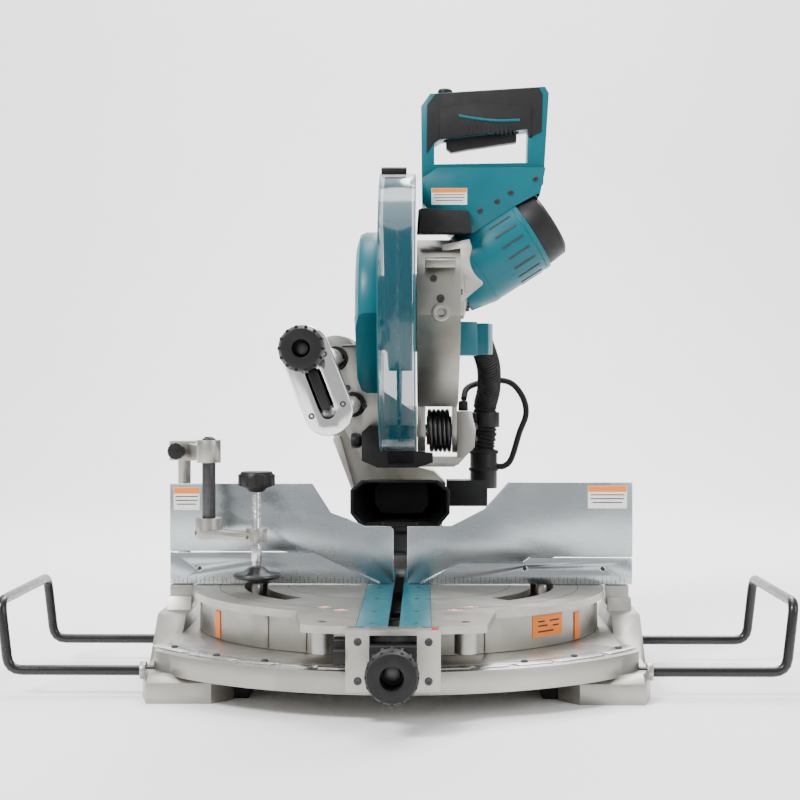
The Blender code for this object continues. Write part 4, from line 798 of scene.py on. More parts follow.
def make_arm(kit):
    head = obround(RAIL_HIGH, RAIL_LOW, 0.032, ARM_Y)
    left = [(-0.100, 0.275), (-0.094, 0.254), (-0.071, 0.194), (-0.054, 0.140)]
    right = [(0.054, 0.140), (0.058, 0.190), (0.042, 0.206), (-0.012, 0.220), (-0.030, 0.262),
             (-0.036, 0.300)]
    leg = extruded("Y", left + arc((0, TABLE_Z), 0.050, 180, 360, 12) + right, *ARM_Y)
    rib_side = ((-0.094, 0.250), (-0.084, 0.254), (-0.055, 0.150), (-0.064, 0.170))
    rib = hull([(x, y, z) for x, z in rib_side for y in (0.298, ARM_Y[0] + 0.004)])
    cuts = [disc("Y", (x, 0, z), RAIL_R + GAP, 0.28, 0.42, 20) for x, z in (RAIL_HIGH, RAIL_LOW)]
    cuts.append(disc("Y", BEVEL, 0.014 + GAP, 0.28, 0.42, 20))
    kit.add("bevel_arm", "bevel_arm", "cast_alloy", [head, leg, rib], cuts)
    for word, (x, z) in (("upper", RAIL_HIGH), ("lower", RAIL_LOW)):
        kit.add(f"{word}_rail", "bevel_arm", "chrome",
                [ring("Y", (x, 0, z), 0.0085, RAIL_R, RAIL_FRONT, RAIL_REAR, 20)])
    shaft = turned("Y", BEVEL, [(0, 0.2555), (0.014, 0.2555), (0.014, ARM_Y[1] + GAP),
                                (0.024, ARM_Y[1] + GAP), (0.024, 0.384), (0.010, 0.390), (0, 0.390)], 20)
    kit.add("bevel_pivot_shaft", "turntable", "steel", [shaft])
    y0, y1 = HOUSING_Y
    cuts = [disc("Y", (x, 0, z), RAIL_R + GAP, RAIL_FRONT - GAP, y1 + 0.01, 20)
            for x, z in (RAIL_HIGH, RAIL_LOW)]
    slot_ends = [between_rails(0.30), between_rails(1.0)]
    cuts.append(obround(*slot_ends, 0.0068, (y0 - 0.01, y0 + 0.014), 8))
    cap = obround(RAIL_HIGH, RAIL_LOW, 0.0232, HOUSING_Y, 14)
    kit.add("rail_front_cap", "bevel_arm", "chrome", [cap], cuts)
    lever = obround(between_rails(0.42), between_rails(0.90), 0.0048, (y0 - 0.004, y0 + 0.0137), 6)
    kit.add("bevel_release_lever", "bevel_release", "black_plastic", [lever])
    x, z = RAIL_HIGH
    knob = turned("Y", (x, 0, z), [(0, y0 - GAP), (0.0150, y0 - GAP), (0.0205, y0 - 0.008),
                                   (0.0218, y0 - 0.024), (0.0185, y0 - 0.032), (0.0085, y0 - 0.032),
                                   (0.0085, y0 - 0.012), (0, y0 - 0.012)], 24)
    kit.add("bevel_lock_knob", "bevel_lock", "black_plastic", [knob])
    front = [(-0.064, 0.160), (-0.050, 0.143), (0.046, 0.143), (0.061, 0.160), (0.061, 0.189),
             (0.046, 0.2015), (-0.050, 0.2015), (-0.064, 0.189)]
    back = [(x * 0.62, 0.172 + (z - 0.172) * 0.8) for x, z in front]

    def horn(inset, y):
        middle = Vector((-0.001, 0.172))
        points = []
        for outline, where in ((front, y[0]), (back, y[1])):
            for px, pz in outline:
                p = Vector((px, pz)) - middle
                p = middle + p * (1 - inset / p.length)
                points.append((p.x, where, p.y))
        return hull(points)

    throat = hull([(x, y, z) for x in (-0.024, 0.022) for y, z in
                   ((0.150, 0.1095), (0.176, 0.1095), (0.172, 0.150), (0.200, 0.150))])
    throat_hollow = hull([(x, y, z) for x in (-0.021, 0.019) for y, z in
                          ((0.140, 0.1125), (0.173, 0.1125), (0.160, 0.160), (0.197, 0.160))])
    kit.add("dust_hood", "bevel_arm", "black_plastic", [horn(0.0, (0.172, ARM_Y[0] - 0.0145)), throat],
            [horn(0.0035, (0.1715, 0.290)), throat_hollow,
             box((-0.021, 0.019), (0.14, 0.173), (0.1125, 0.165))])
    elbow = hull([(x, y, z) for x, y in ((0.0585, 0.268), (0.112, 0.270), (0.114, 0.306), (0.0585, 0.306))
                  for z in (0.162, 0.196)])
    neck = disc("Z", (0.108, 0.288, 0), 0.0180, 0.185, 0.2360, 20)
    lug = box((0.050, 0.075), (0.296, ARM_Y[0] - GAP), (0.165, 0.185))
    kit.add("dust_elbow", "bevel_arm", "black_plastic", [elbow, neck, lug],
            [disc("Z", (0.108, 0.288, 0), 0.0135, 0.170, 0.25, 16),
             box((0.03, 0.0600 + GAP), (0.25, 0.2984), (0.15, 0.21))])


# ---- carriage ----------------------------------------------------------------------------
def make_carriage(kit):
    py, pz = PIVOT[1], PIVOT[2]
    sleeve = obround(RAIL_HIGH, RAIL_LOW, 0.030, (CARRIAGE_Y[0], 0.300), 10)
    block = hull([(x, y, z) for x, z in ((-0.080, 0.275), (-0.045, 0.2165), (0.0195, 0.2165),
                                        (0.0195, 0.285), (-0.040, 0.325))
                  for y in (CARRIAGE_Y[0], 0.268)])
    boss = disc("X", (0, py, pz), 0.032, -0.030, 0.0195, 24)
    sole_side = ((-0.045, 0.2165), (0.068, 0.2165), (0.080, 0.2285), (-0.045, 0.2285))
    sole = hull([(x, y, z) for x, z in sole_side for y in (CARRIAGE_Y[0] + 0.004, 0.268)])
    bracket = hull([(x, y, z) for x, y0, z in ((0.0716, 0.226, 0.2175), (0.076, 0.226, 0.2250),
                                              (0.094, 0.222, 0.2420), (0.0955, 0.222, 0.2650),
                                              (0.0716, 0.222, 0.2880), (0.0900, 0.224, 0.2880))
                    for y in (y0, 0.268)])
    bore = disc("X", (0, py, pz), 0.0085 + GAP, -0.020, 0.090, 16)
    cuts = [bore] + [disc("Y", (x, 0, z), RAIL_R + GAP, 0.19, 0.32, 20) for x, z in (RAIL_HIGH, RAIL_LOW)]
    kit.add("carriage", "carriage", "cast_alloy", [sleeve, block, boss, sole, bracket], cuts)
    kit.add("chop_pivot_shaft", "carriage", "steel", [disc("X", (0, py, pz), 0.0085, -0.0195, 0.0895, 16)])
    boot = [(-0.030, 0.2175), (0.020, 0.2175), (0.040, 0.2240), (0.040, 0.2350), (0.0192, 0.2370),
            (0.0185, 0.2700), (-0.040, 0.2710), (-0.050, 0.2620), (-0.050, 0.2260)]
    kit.add("dust_guide", "carriage", "black_rubber",
            [extruded("Y", boot, 0.1780, CARRIAGE_Y[0] - GAP)],
            [box((-0.017, 0.0155), (0.17, 0.197), (0.222, 0.28))])
    knob = turned("X", (0, 0.1915, 0.2510), [(0, -0.0640), (0.0085, -0.0640), (0.0098, -0.0600),
                                            (0.0090, -0.0530), (0.0055, -0.0503), (0, -0.0503)], 14)
    kit.add("slide_lock_knob", "slide_lock", "black_plastic", [knob])
    clip = ring("Z", (0.110, 0.288, 0), 0.0158, 0.0192, 0.2660, 0.2860, 20)
    strap = box((0.0930, 0.0980), (0.262, 0.276), (0.2670, 0.2850))
    kit.add("hose_clip", "carriage", "black_plastic", [clip, strap],
            [box((0.08, 0.0958), (0.25, 0.2683), (0.25, 0.30))])
    gland = rod((0.0800, 0.2480, 0.2884), (0.0800, 0.2520, 0.3000), 0.0062, 12)
    foot = box((0.07, 0.09), (0.23, 0.27), (0.28, 0.2884))
    kit.add("cable_gland", "carriage", "black_rubber", [gland], [foot])
    hook = [(-0.052, 0.2040, 0.350), (-0.052, 0.1960, 0.350), (-0.0535, 0.1960, 0.372),
            (-0.076, 0.1960, 0.372)]
    kit.add("hex_wrench", "carriage", "dark_steel", [swept(rounded_path(hook, 0.003, 2), 0.0022, 8)])


# ---- saw head ----------------------------------------------------------------------------
MOTOR_TILT = 33.0
MOTOR_AT = Vector((0.172, 0.078, 0.515))     # centre of the motor's rear face


def along_motor(profile, sides=28):
    """A profile of (radius, distance back from the rear face) turned about the motor's axis."""
    solid = turned("X", (0, 0, 0), profile, sides)
    turn = Matrix.Rotation(radians(-MOTOR_TILT), 4, "Y")
    solid.data.transform(Matrix.Translation(MOTOR_AT) @ turn)
    return solid


def make_head(kit):
    py, pz = PIVOT[1], PIVOT[2]
    ay, az = ARBOR[1], ARBOR[2]
    side = [(0.274, 0.294), (0.285, 0.350), (0.230, 0.440), (0.150, 0.490), (0.060, 0.494),
            (0.010, 0.474), (-0.010, 0.440), (-0.012, 0.402), (0.010, 0.376), (0.060, 0.345),
            (0.150, 0.300), (0.222, 0.294)]
    arm = extruded("X", side, 0.0303, 0.0657)
    lugs = []
    for x0, x1 in ((0.0203, 0.0306), (0.0654, 0.0712)):
        lugs.append(hull([(x, y, z) for y, z in arc((py, pz), 0.029, 190, 350, 8)
                          + [(0.274, 0.300), (0.222, 0.300)] for x in (x0, x1)]))
        lugs.append(extruded("X", side, x0, x1))
    nose = disc("X", (0, ay, az), 0.046, 0.0160, 0.0310, 28)
    gearbox = turned("X", (0, ay + 0.020, az + 0.035), [(0, 0.060), (0.043, 0.060), (0.041, 0.0760),
                                                       (0.030, 0.0800), (0, 0.0800)], 24)
    neck = hull([(x, y, z) for x, y, z in (
        (0.050, 0.030, 0.400), (0.050, 0.120, 0.400), (0.050, 0.020, 0.485), (0.050, 0.125, 0.485),
        (0.098, 0.035, 0.440), (0.098, 0.118, 0.440), (0.082, 0.035, 0.493), (0.082, 0.118, 0.493))])
    motor_cut = along_motor([(0, -0.130), (0.0412, -0.130), (0.0473, -0.100), (0.0473, -0.020),
                             (0.042, 0.020), (0, 0.020)])
    cuts = [motor_cut, disc("X", (0, py, pz), 0.0085 + GAP, -0.02, 0.09, 16),
            disc("X", (0, ay, az), 0.0128, -0.02, 0.030, 16),
            disc("X", (0, ay, az), 0.0365, 0.026, 0.062, 24)]
    kit.add("gear_housing", "head", "cast_alloy", [arm] + lugs + [nose, gearbox, neck], cuts)
    shell = along_motor([(0.018, -0.1285), (0.0405, -0.1285), (0.0468, -0.099), (0.0468, -0.0203),
                         (0.0430, -0.0203), (0.0430, -0.097), (0.0370, -0.1245), (0.018, -0.1245)])
    kit.add("motor_housing", "head", "teal_plastic", [shell])
    cap = along_motor([(0.0150, -0.0020), (0.0395, -0.0020), (0.0395, -0.0200), (0.0445, -0.0200),
                       (0.0425, 0.0030), (0.0360, 0.0075), (0.0150, 0.0060)])
    kit.add("motor_end_cap", "head", "black_plastic", [cap])
    armature = along_motor([(0, -0.126), (0.0055, -0.126), (0.0055, -0.095), (0.0255, -0.092),
                            (0.0255, -0.035), (0.0145, -0.030), (0.0145, -0.0150),
                            (0.0055, -0.0140), (0.0055, 0.0010), (0, 0.0010)], 20)
    kit.add("motor_armature", "motor_armature", "copper", [armature])
    outline = [(0.040, 0.5295), (0.060, 0.5010), (0.096, 0.5010), (0.140, 0.530), (0.1700, 0.560),
               (0.1765, 0.667), (0.1720, 0.6750), (0.036, 0.667), (0.0252, 0.652), (0.0264, 0.538)]
    body = extruded("Y", outline, 0.0570, 0.0940)
    base = hull([(x, y, z) for x, z in ((0.0264, 0.538), (0.040, 0.5300), (0.060, 0.5010), (0.096, 0.5010),
                                        (0.165, 0.545), (0.172, 0.578), (0.045, 0.578), (0.0264, 0.565))
                 for y in (0.0455, 0.1080)])
    window = extruded("Y", [(0.0410, 0.5835), (0.1510, 0.5850), (0.1520, 0.6250), (0.0480, 0.6130),
                            (0.0410, 0.6080)], 0.0, 0.2)
    pocket = box((0.052, 0.142), (0.0660, 0.0850), (0.600, 0.6310))
    button_hole = disc("Z", (0.054, 0.0755, 0), 0.0093, 0.6500, 0.70, 16)
    seat = hull([(x, y, z) for x, z in ((0.0470, 0.6050), (0.156, 0.6150), (0.156, 0.6520), (0.0900, 0.6560),
                                        (0.0470, 0.6500)) for y in (0.0560, 0.0600)])
    kit.add("handle", "head", "teal_plastic", [body, base],
            [window, pocket, button_hole, seat,
             along_motor([(0, -0.150), (0.0473, -0.150), (0.0473, -0.0198), (0.0455, 0.0105), (0, 0.0105)])])
    skin_side = ((0.0475, 0.6062), (0.1555, 0.6160), (0.1555, 0.6515), (0.0900, 0.6555), (0.0475, 0.6495))
    skin = hull([(x, y, z) for x, z in skin_side for y in (0.0545, 0.0597)])
    hand_side = ((0.0405, 0.5835), (0.1515, 0.5850), (0.1525, 0.6253), (0.0480, 0.6133), (0.0405, 0.6083))
    hand = hull([(x, y, z) for x, z in hand_side for y in (0.05, 0.07)])
    kit.add("grip_overmould", "head", "black_rubber", [skin], [hand])
    kit.add("trigger", "trigger", "black_plastic",
            [extruded("Y", [(0.0550, 0.6040), (0.0610, 0.5990), (0.0800, 0.6025), (0.1390, 0.6110),
                            (0.1390, 0.6220), (0.0550, 0.6220)], 0.0670, 0.0840)])
    kit.add("lock_off_button", "lock_off_button", "black_plastic",
            [turned("Z", (0.054, 0.0755, 0), [(0, 0.6550), (0.0088, 0.6550), (0.0088, 0.6735),
                                              (0.0070, 0.6755), (0, 0.6755)], 16)])
    kit.add("head_bumper", "head", "black_rubber",
            [hull([(x, y, z) for x, y, z in ((0.022, 0.012, 0.4985), (0.084, 0.012, 0.4985),
                                             (0.020, 0.0452, 0.4985), (0.085, 0.0452, 0.4985),
                                             (0.025, 0.014, 0.5270), (0.080, 0.014, 0.5240),
                                             (0.022, 0.0452, 0.5290), (0.082, 0.0452, 0.5260))])])
    port = hull([(x, y, z) for x, y in ((0.0715 + GAP, 0.136), (0.1080, 0.136), (0.1150, 0.1640),
                                        (0.0715 + GAP, 0.1640)) for z in (0.3600, 0.3985)])
    shield = hull([(x, y, z) for x, y in ((0.0715 + GAP, 0.088), (0.0930, 0.094), (0.0930, 0.145),
                                          (0.0715 + GAP, 0.145)) for z in (0.3580, 0.3985)])
    kit.add("hose_port", "head", "teal_plastic", [port, shield])


def make_blade(kit):
    kit.add("arbor_shaft", "blade", "steel",
            [turned("X", ARBOR, [(0, -0.0090), (0.0123, -0.0090), (0.0123, 0.0580), (0, 0.0580)], 20)])
    kit.add("blade_flange", "blade", "steel",
            [ring("X", ARBOR, 0.0123 + GAP, 0.0215, -0.0082, -BLADE_T / 2 - GAP, 24)])
    kit.add("arbor_bolt", "blade", "dark_steel",
            [disc("X", ARBOR, 0.0105, -0.0160, -0.0093, 6)])
    kit.add("drive_gear", "blade", "steel", [ring("X", ARBOR, 0.0123 + GAP, 0.0340, 0.0340, 0.0480, 40)])


def make_guard(kit):
    ay, az = ARBOR[1], ARBOR[2]
    centre = (ay, az)

    def sector(outer, inner, start, end, x):
        points = arc(centre, outer, start, end, 30) + arc(centre, inner, end, start, 14)
        return extruded("X", points, *x)

    guard = sector(GUARD_R, GUARD_HUB_R, 100, 290, GUARD_X)
    hollow = sector(GUARD_R - SHELL, GUARD_HUB_R - 0.006, 94, 296,
                    (GUARD_X[0] + SHELL, GUARD_X[1] - SHELL))
    kit.add("lower_guard", "lower_guard", "clear_teal", [guard], [hollow])
    cap = [(x, ay + r * cos(radians(t)), az + r * sin(radians(t))) for t in (92, 98, 105)
           for r in (GUARD_R + GAP, 0.1705) for x in (-0.0205, 0.0085)]
    kit.add("guard_end_roller", "lower_guard", "black_rubber", [hull(cap)],
            [disc("X", (0, ay, az), GUARD_R + GAP, -0.03, 0.03, 90)])
    case = arc(centre, CASE_R, -25, 142, 28) + arc(centre, 0.046, 160, 317, 12)
    inner = arc(centre, CASE_R - 0.003, -30, 147, 28) + arc(centre, 0.0440, 165, 312, 12)
    cuts = [extruded("X", inner, CASE_X[0] + SHELL, CASE_X[1] - SHELL),
            disc("X", (0, ay, az), 0.157, CASE_X[0] + SHELL, CASE_X[1] - SHELL, 48),
            disc("X", (0, ay, az), 0.0250, -0.05, 0.05, 20)]
    kit.add("blade_case", "head", "teal_plastic", [extruded("X", case, *CASE_X)], cuts)
    cover = turned("X", (0, ay, az), [(0, -0.0495), (0.078, -0.0495), (0.092, -0.0450), (0.095, -0.0390),
                                      (0.095, -0.0240), (0.0440, -0.0240), (0.0440, -0.0168),
                                      (0.0300, -0.0168), (0.0300, -0.0460), (0, -0.0460)], 28)
    flat = radians(-131.5)
    off = Vector((0, cos(flat), sin(flat)))
    across = Vector((0, -off.z, off.y))
    corners = [Vector(ARBOR) + off * d + across * s for d in (0.066, 0.12) for s in (-0.12, 0.12)]
    trim = hull([(x, p.y, p.z) for p in corners for x in (-0.06, -0.0225)])
    kit.add("blade_side_cover", "head", "teal_plastic", [cover], [trim])


# ---- hose and cable ----------------------------------------------------------------------
HOSE_R = 0.0155
HOSE_UPPER = [(0.0985, 0.1640, 0.3790), (0.0985, 0.1760, 0.3790), (0.1040, 0.2000, 0.3690),
              (0.1125, 0.2340, 0.3450), (0.1140, 0.2670, 0.3170), (0.1102, 0.2870, 0.2960),
              (0.1100, 0.2880, 0.2840)]
HOSE_LOWER = [(0.1100, 0.2880, 0.2680), (0.1100, 0.2880, 0.2560), (0.1082, 0.2880, 0.2450),
              (0.1080, 0.2880, 0.2340)]
CABLE = [(0.0808, 0.2556, 0.3040), (0.0850, 0.2700, 0.3170), (0.1000, 0.2900, 0.3240),
         (0.1240, 0.2990, 0.3285), (0.1460, 0.3000, 0.3240), (0.1610, 0.2990, 0.3050),
         (0.1650, 0.2980, 0.2830), (0.1560, 0.2960, 0.2580), (0.1450, 0.2900, 0.2240),
         (0.1350, 0.2880, 0.2142), (0.1250, 0.2880, 0.2140)]


def tube(path, radius, sides=24, wave=0.0, pitch=1.0):
    """A tube along a path, its wall swelling in a spiral of the given depth and pitch."""
    bm = bmesh.new()
    rings, run = [], 0.0
    side = Vector((1, 0, 0))
    for i, here in enumerate(path):
        before, after = path[max(i - 1, 0)], path[min(i + 1, len(path) - 1)]
        forward = (after - before).normalized()
        side = (side - forward * side.dot(forward)).normalized()
        up = forward.cross(side)
        run += (here - before).length
        circle = []
        for k in range(sides):
            t = 2 * pi * k / sides
            swell = radius - wave * (0.5 - 0.5 * cos(2 * pi * run / pitch + t)) ** 2
            circle.append(bm.verts.new(here + (side * cos(t) + up * sin(t)) * swell))
        rings.append(circle)
    for low, high in zip(rings, rings[1:]):
        for k in range(sides):
            n = (k + 1) % sides
            bm.faces.new((low[k], low[n], high[n], high[k]))
    bm.faces.new(rings[0])
    bm.faces.new(rings[-1])
    return finished(bm)


def make_cords():
    """The dust hose in its two lengths and the lamp cable, each spanning one joint, baked in place."""
    for name, line, a, b in (("hose_upper", HOSE_UPPER, "head", "carriage"),
                             ("hose_lower", HOSE_LOWER, "carriage", "bevel_arm")):
        hose = tube(smooth_path(line, 0.0009), HOSE_R, 40, wave=0.0022, pitch=0.0055)
        dressed(hose, "shown_" + name, "black_rubber")
        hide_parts(name)
        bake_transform(hose)
    line = smooth_path(CABLE, 0.003)
    cable = dressed(tube(line, 0.0040, 20), "shown_light_cable", "black_rubber")
    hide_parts("light_cable")
    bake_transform(cable)


# ---- small parts the CAD leaves out ------------------------------------------------------
def curved_tag(radius, at, width, z, thick, lift=0.0):
    """A tag bent round the drum: at is degrees from the front, positive to the right."""
    half = degrees(width / radius) / 2
    middle = -90 + at
    inner = radius + lift
    outline = arc((0, 0), inner + thick, middle - half, middle + half, 8)
    outline += arc((0, 0), inner, middle + half, middle - half, 8)
    return extruded("Z", outline, *z)


def base_details():
    lip = FLANGE_Z + 0.0014
    outline, step = [], 0.5
    detents = [0, 15, -15, 22.5, -22.5, 31.6, -31.6, 45, -45]
    angle = -57.0
    while angle <= 57.0:
        deep = any(abs(angle - d) <= 0.5 for d in detents)
        radius = 0.2975 if deep else 0.3045
        t = radians(-90 + angle)
        outline.append((radius * cos(t), radius * sin(t)))
        angle += step
    outline += arc((0, 0), 0.2860, -33, -147, 24)
    detail("detent_ring", "base", "steel", [extruded("Z", outline, FLANGE_Z - 0.0004, lip)], 0.0003)
    heads = []
    for phi in (-52, -38, -26, 26, 38, 52):
        t = radians(-90 + phi)
        heads.append(screw((0.2925 * cos(t), 0.2925 * sin(t), lip), (0, 0, 1), 0.0036, 0.0016))
    detail("detent_ring_screws", "base", "dark_steel", heads)
    marks = []
    for k in range(-50, 51):
        t = radians(-90 + k)
        long = 0.0070 if k % 10 == 0 else (0.0052 if k % 5 == 0 else 0.0034)
        tick = box((-0.00018, 0.00018), (-long, 0), (0, 0.00025))
        tick.data.transform(Matrix.Translation((0.3128 * cos(t), 0.3128 * sin(t), FLANGE_Z - 0.0001))
                            @ Matrix.Rotation(t - pi / 2 + pi, 4, "Z") @ Matrix.Rotation(pi, 4, "Z"))
        marks.append(tick)
    detail("miter_scale", "base", "ink", marks)
    pads = [hull([(side * x, y, z) for x in (0.150, 0.172) for y in (-0.200, -0.150) for z in (0.0, 0.013)])
            for side in (-1, 1)]
    detail("foot_pads", "base", "black_rubber", pads, 0.002)
    collars = []
    for side in (-1, 1):
        for y, x in zip(BAR_Y, (0.2615, 0.2735)):
            span = sorted((side * (x - 0.003), side * (x + 0.003)))
            collars.append(ring("X", (0, y, BAR_Z), BAR_R + 0.0004, 0.0092, *span, 24))
    detail("rod_collars", "base", "cast_alloy", collars, 0.0006)
    bolts = []
    for side in (-1, 1):
        bolts.append(screw((side * 0.2520, 0.022, 0.0995), (0, 0, 1), 0.0058, 0.0045))
        bolts.append(screw((side * 0.2000, 0.022, 0.0989), (0, 0, 1), 0.0052, 0.0045))
    detail("fence_bolts", "base", "dark_steel", bolts)
    ticks = []
    for side in (-1, 1):
        for k in range(0, 46):
            x = side * (0.034 + 0.005 * k)
            tall = 0.0075 if k % 2 == 0 else 0.0045
            ticks.append(box((x - 0.00022, x + 0.00022), (-0.00015, 0.0002),
                             (TABLE_Z + 0.0018, TABLE_Z + 0.0018 + tall)))
    detail("fence_rule", "base", "ink", ticks)


def label(name, body, at, direction, width, height):
    """A generic tag: orange band, white field and a few grey rules."""
    detail(name + "_field", body, "white", [plate(at, direction, width, height, 0.00035)])
    up = Vector((0, 0, 1))
    band = Vector(at) + up * height * 0.36
    detail(name + "_band", body, "orange", [plate(band, direction, width * 0.98, height * 0.26, 0.0005)])
    rules = []
    for k in range(3):
        spot = Vector(at) + up * height * (0.10 - 0.17 * k)
        rules.append(plate(spot, direction, width * (0.86 - 0.1 * (k == 2)), height * 0.045, 0.0005))
    detail(name + "_rules", body, "ink", rules)


def fence_details():
    label("left_tag", "sliding_fence_left", (-0.2455, FENCE_T + GAP, 0.1905), (0, -1, 0), 0.030, 0.026)
    label("right_tag", "sliding_fence_right", (0.2400, FENCE_T + GAP, 0.1930), (0, -1, 0), 0.045, 0.026)
    for side, word in ((-1, "left"), (1, "right")):
        body = f"sliding_fence_{word}"
        heads = [screw((side * 0.225, FENCE_T + GAP + UPPER_T, z), (0, 1, 0), 0.0050, 0.0040)
                 for z in (0.140, 0.172)]
        detail(f"fence_guide_screws_{word}", body, "dark_steel", heads)
    holes = []
    for x, z in ((-0.2305, 0.1103), (0.145, 0.1105), (0.2345, 0.1105)):
        holes.append(screw((x, 0.0022, z), (0, -1, 0), 0.0026, 0.0012, "cross"))
    detail("fence_face_screws", "base", "dark_steel", holes)


def turntable_details():
    top = TABLE_Z
    lines = []
    for radius, width in ((0.2045, 0.0008), (0.1270, 0.0005)):
        for a, b in ((-76, 76), (104, 256)):
            shape = arc((0, 0), radius + width, a, b, 40) + arc((0, 0), radius, b, a, 40)
            lines.append(extruded("Z", shape, top - 0.0002, top + 0.00012))
    bands = [merged([line], [box((-0.19, 0.19), (0.0, 0.06), (0.08, 0.1))]) for line in lines]
    detail("table_rings", "turntable", "ink", bands)
    heads = []
    for side in (-1, 1):
        for y in (-0.295, -0.215, -0.120, -0.025, 0.070, 0.132):
            heads.append(screw((side * 0.0215, y, top - 0.0003), (0, 0, 1), 0.0032, 0.0006, "cross"))
    detail("kerf_board_screws", "turntable", "dark_steel", heads)
    liner = [box(sorted((side * 0.0240, side * 0.0262)), (-0.304, 0.138), (0.0600, top - BOARD_T - 0.0012))
             for side in (-1, 1)]
    detail("kerf_liner", "turntable", "black_plastic", liner)
    tags = [curved_tag(DRUM_R, phi, 0.0110, (0.0500, 0.0790), 0.0012) for phi in (-58, 58)]
    detail("miter_pointers", "turntable", "orange", tags, 0.0003)
    detail("drum_tag", "turntable", "orange", [curved_tag(DRUM_R, 44.5, 0.047, (0.0595, 0.0820), 0.0005)])
    rules = [curved_tag(DRUM_R, 44.5 + dx, w, (z, z + 0.0016), 0.0003, 0.00045)
             for dx, w, z in ((-2.8, 0.010, 0.0745), (2.4, 0.016, 0.0745), (-2.2, 0.014, 0.0700),
                              (3.0, 0.010, 0.0690), (-1.0, 0.024, 0.0640))]
    detail("drum_tag_rules", "turntable", "ink", rules)
    rounds, dots = [], []
    for x, y in ((-0.074, -0.185), (-0.056, -0.205), (0.078, -0.180), (0.060, -0.205)):
        rounds.append(disc("Z", (x, y, 0), 0.0068, top - 0.0001, top + 0.00015, 28))
        dots.append(ring("Z", (x, y, 0), 0.0042, 0.0060, top, top + 0.0003, 28))
    detail("table_marks", "turntable", "white", rounds)
    detail("table_mark_rings", "turntable", "red", dots)
    ribs = []
    for phi in (-75, -36, -24, 24, 75):
        ribs.append(curved_tag(DRUM_R - 0.0005, phi, 0.0035, (0.0495, TABLE_Z - TOP_T - 0.0004), 0.0022))
    detail("drum_ribs", "turntable", "cast_alloy", ribs, 0.0006)
    nuts = [screw((side * 0.070, -0.2860, top - 0.0004), (0, 0, 1), 0.0048, 0.0008) for side in (-1, 1)]
    nuts += [screw((side * 0.0335, -0.3326, z), (0, -1, 0), 0.0038, 0.0022) for side in (-1, 1)
             for z in (0.043, 0.080)]
    detail("nose_screws", "turntable", "dark_steel", nuts)
    outline = [(-0.0035, -0.3350), (0.0035, -0.3350), (0.0, -0.3260)]
    pointer = extruded("Z", outline, top - 0.0009, top + 0.0004)
    pointer.data.transform(Matrix.Translation((0.0395, 0.0065, 0)))
    detail("nose_mark", "turntable", "red", [pointer])


def fluted(centre, axis, radius, span, count, depth=0.0012, width=0.42):
    """Raised ribs round a knob, along its axis."""
    ribs = []
    for k in range(count):
        t = 2 * pi * k / count
        half = pi / count * width
        corners = [(radius - 0.0015, t - half), (radius - 0.0015, t + half),
                   (radius + depth, t + half * 0.6), (radius + depth, t - half * 0.6)]
        others = [i for i in range(3) if i != "XYZ".index(axis)]
        a0, b0 = centre[others[0]], centre[others[1]]
        outline = [(a0 + r * cos(q), b0 + r * sin(q)) for r, q in corners]
        ribs.append(extruded(axis, outline, *span))
    return ribs


def knob_details():
    detail("miter_grip_ribs", "miter_grip", "black_plastic",
           fluted((0, 0, 0.057), "Y", 0.0240, (-0.3930, -0.3680), 16, 0.0010), 0.0004)
    detail("bevel_knob_ribs", "bevel_lock", "black_plastic",
           fluted((RAIL_HIGH[0], 0, RAIL_HIGH[1]), "Y", 0.0208, (-0.3550, -0.3340), 14, 0.0012), 0.0004)
    detail("vise_knob_ribs", "vise_knob", "black_plastic",
           fluted((*VISE_SCREW, 0), "Z", 0.0188, (0.2110, 0.2235), 12, 0.0016), 0.0005)
    x, z = VISE_REAR[0] - 0.0055, 0.2450
    detail("vise_clamp_ribs", "vise_clamp", "black_plastic",
           fluted((x, 0, z), "Y", 0.0092, (VISE_REAR[1] - 0.0325, VISE_REAR[1] - 0.0215), 12, 0.0007), 0.0003)
    detail("slide_lock_ribs", "slide_lock", "black_plastic",
           fluted((0, 0.1915, 0.2510), "X", 0.0090, (-0.0630, -0.0560), 12, 0.0007), 0.0003)
    hub = [disc("Y", (0, 0, 0.057), 0.0075, -0.3740, -0.3675, 24)]
    detail("miter_grip_bolt", "miter_grip", "dark_steel", hub, 0.0005)
    hub = [disc("Y", (RAIL_HIGH[0], 0, RAIL_HIGH[1]), 0.0060, -0.3420, -0.3350, 24)]
    detail("bevel_knob_bolt", "bevel_lock", "dark_steel", hub, 0.0005)


def vise_details():
    sx, sy = VISE_SCREW
    turns = smooth_path([(sx + 0.0046 * cos(t / 10 * 2 * pi), sy + 0.0046 * sin(t / 10 * 2 * pi),
                          0.1740 + t * 0.00017) for t in range(0, 162)], 0.0006)
    detail("vise_thread", "vise_screw", "steel", [tube(turns, 0.00055, 6)])
    fx, fy = VISE_FRONT
    heads = [screw((fx, fy, 0.2615), (0, 0, 1), 0.0052, 0.0022),
             screw((fx - 0.0125, fy - 0.004, 0.1555), (-1, -0.35, 0), 0.0032, 0.0025)]
    detail("vise_screws", "vise", "dark_steel", heads)
    edge = hull([(x, y, z) for x, y in ((fx - 0.002, fy - 0.0130), (sx - 0.010, sy - 0.0125),
                                        (sx - 0.010, sy - 0.0145), (fx - 0.002, fy - 0.0150))
                 for z in (0.1520, 0.1570)])
    detail("vise_arm_rib", "vise", "cast_alloy", [edge], 0.0006)


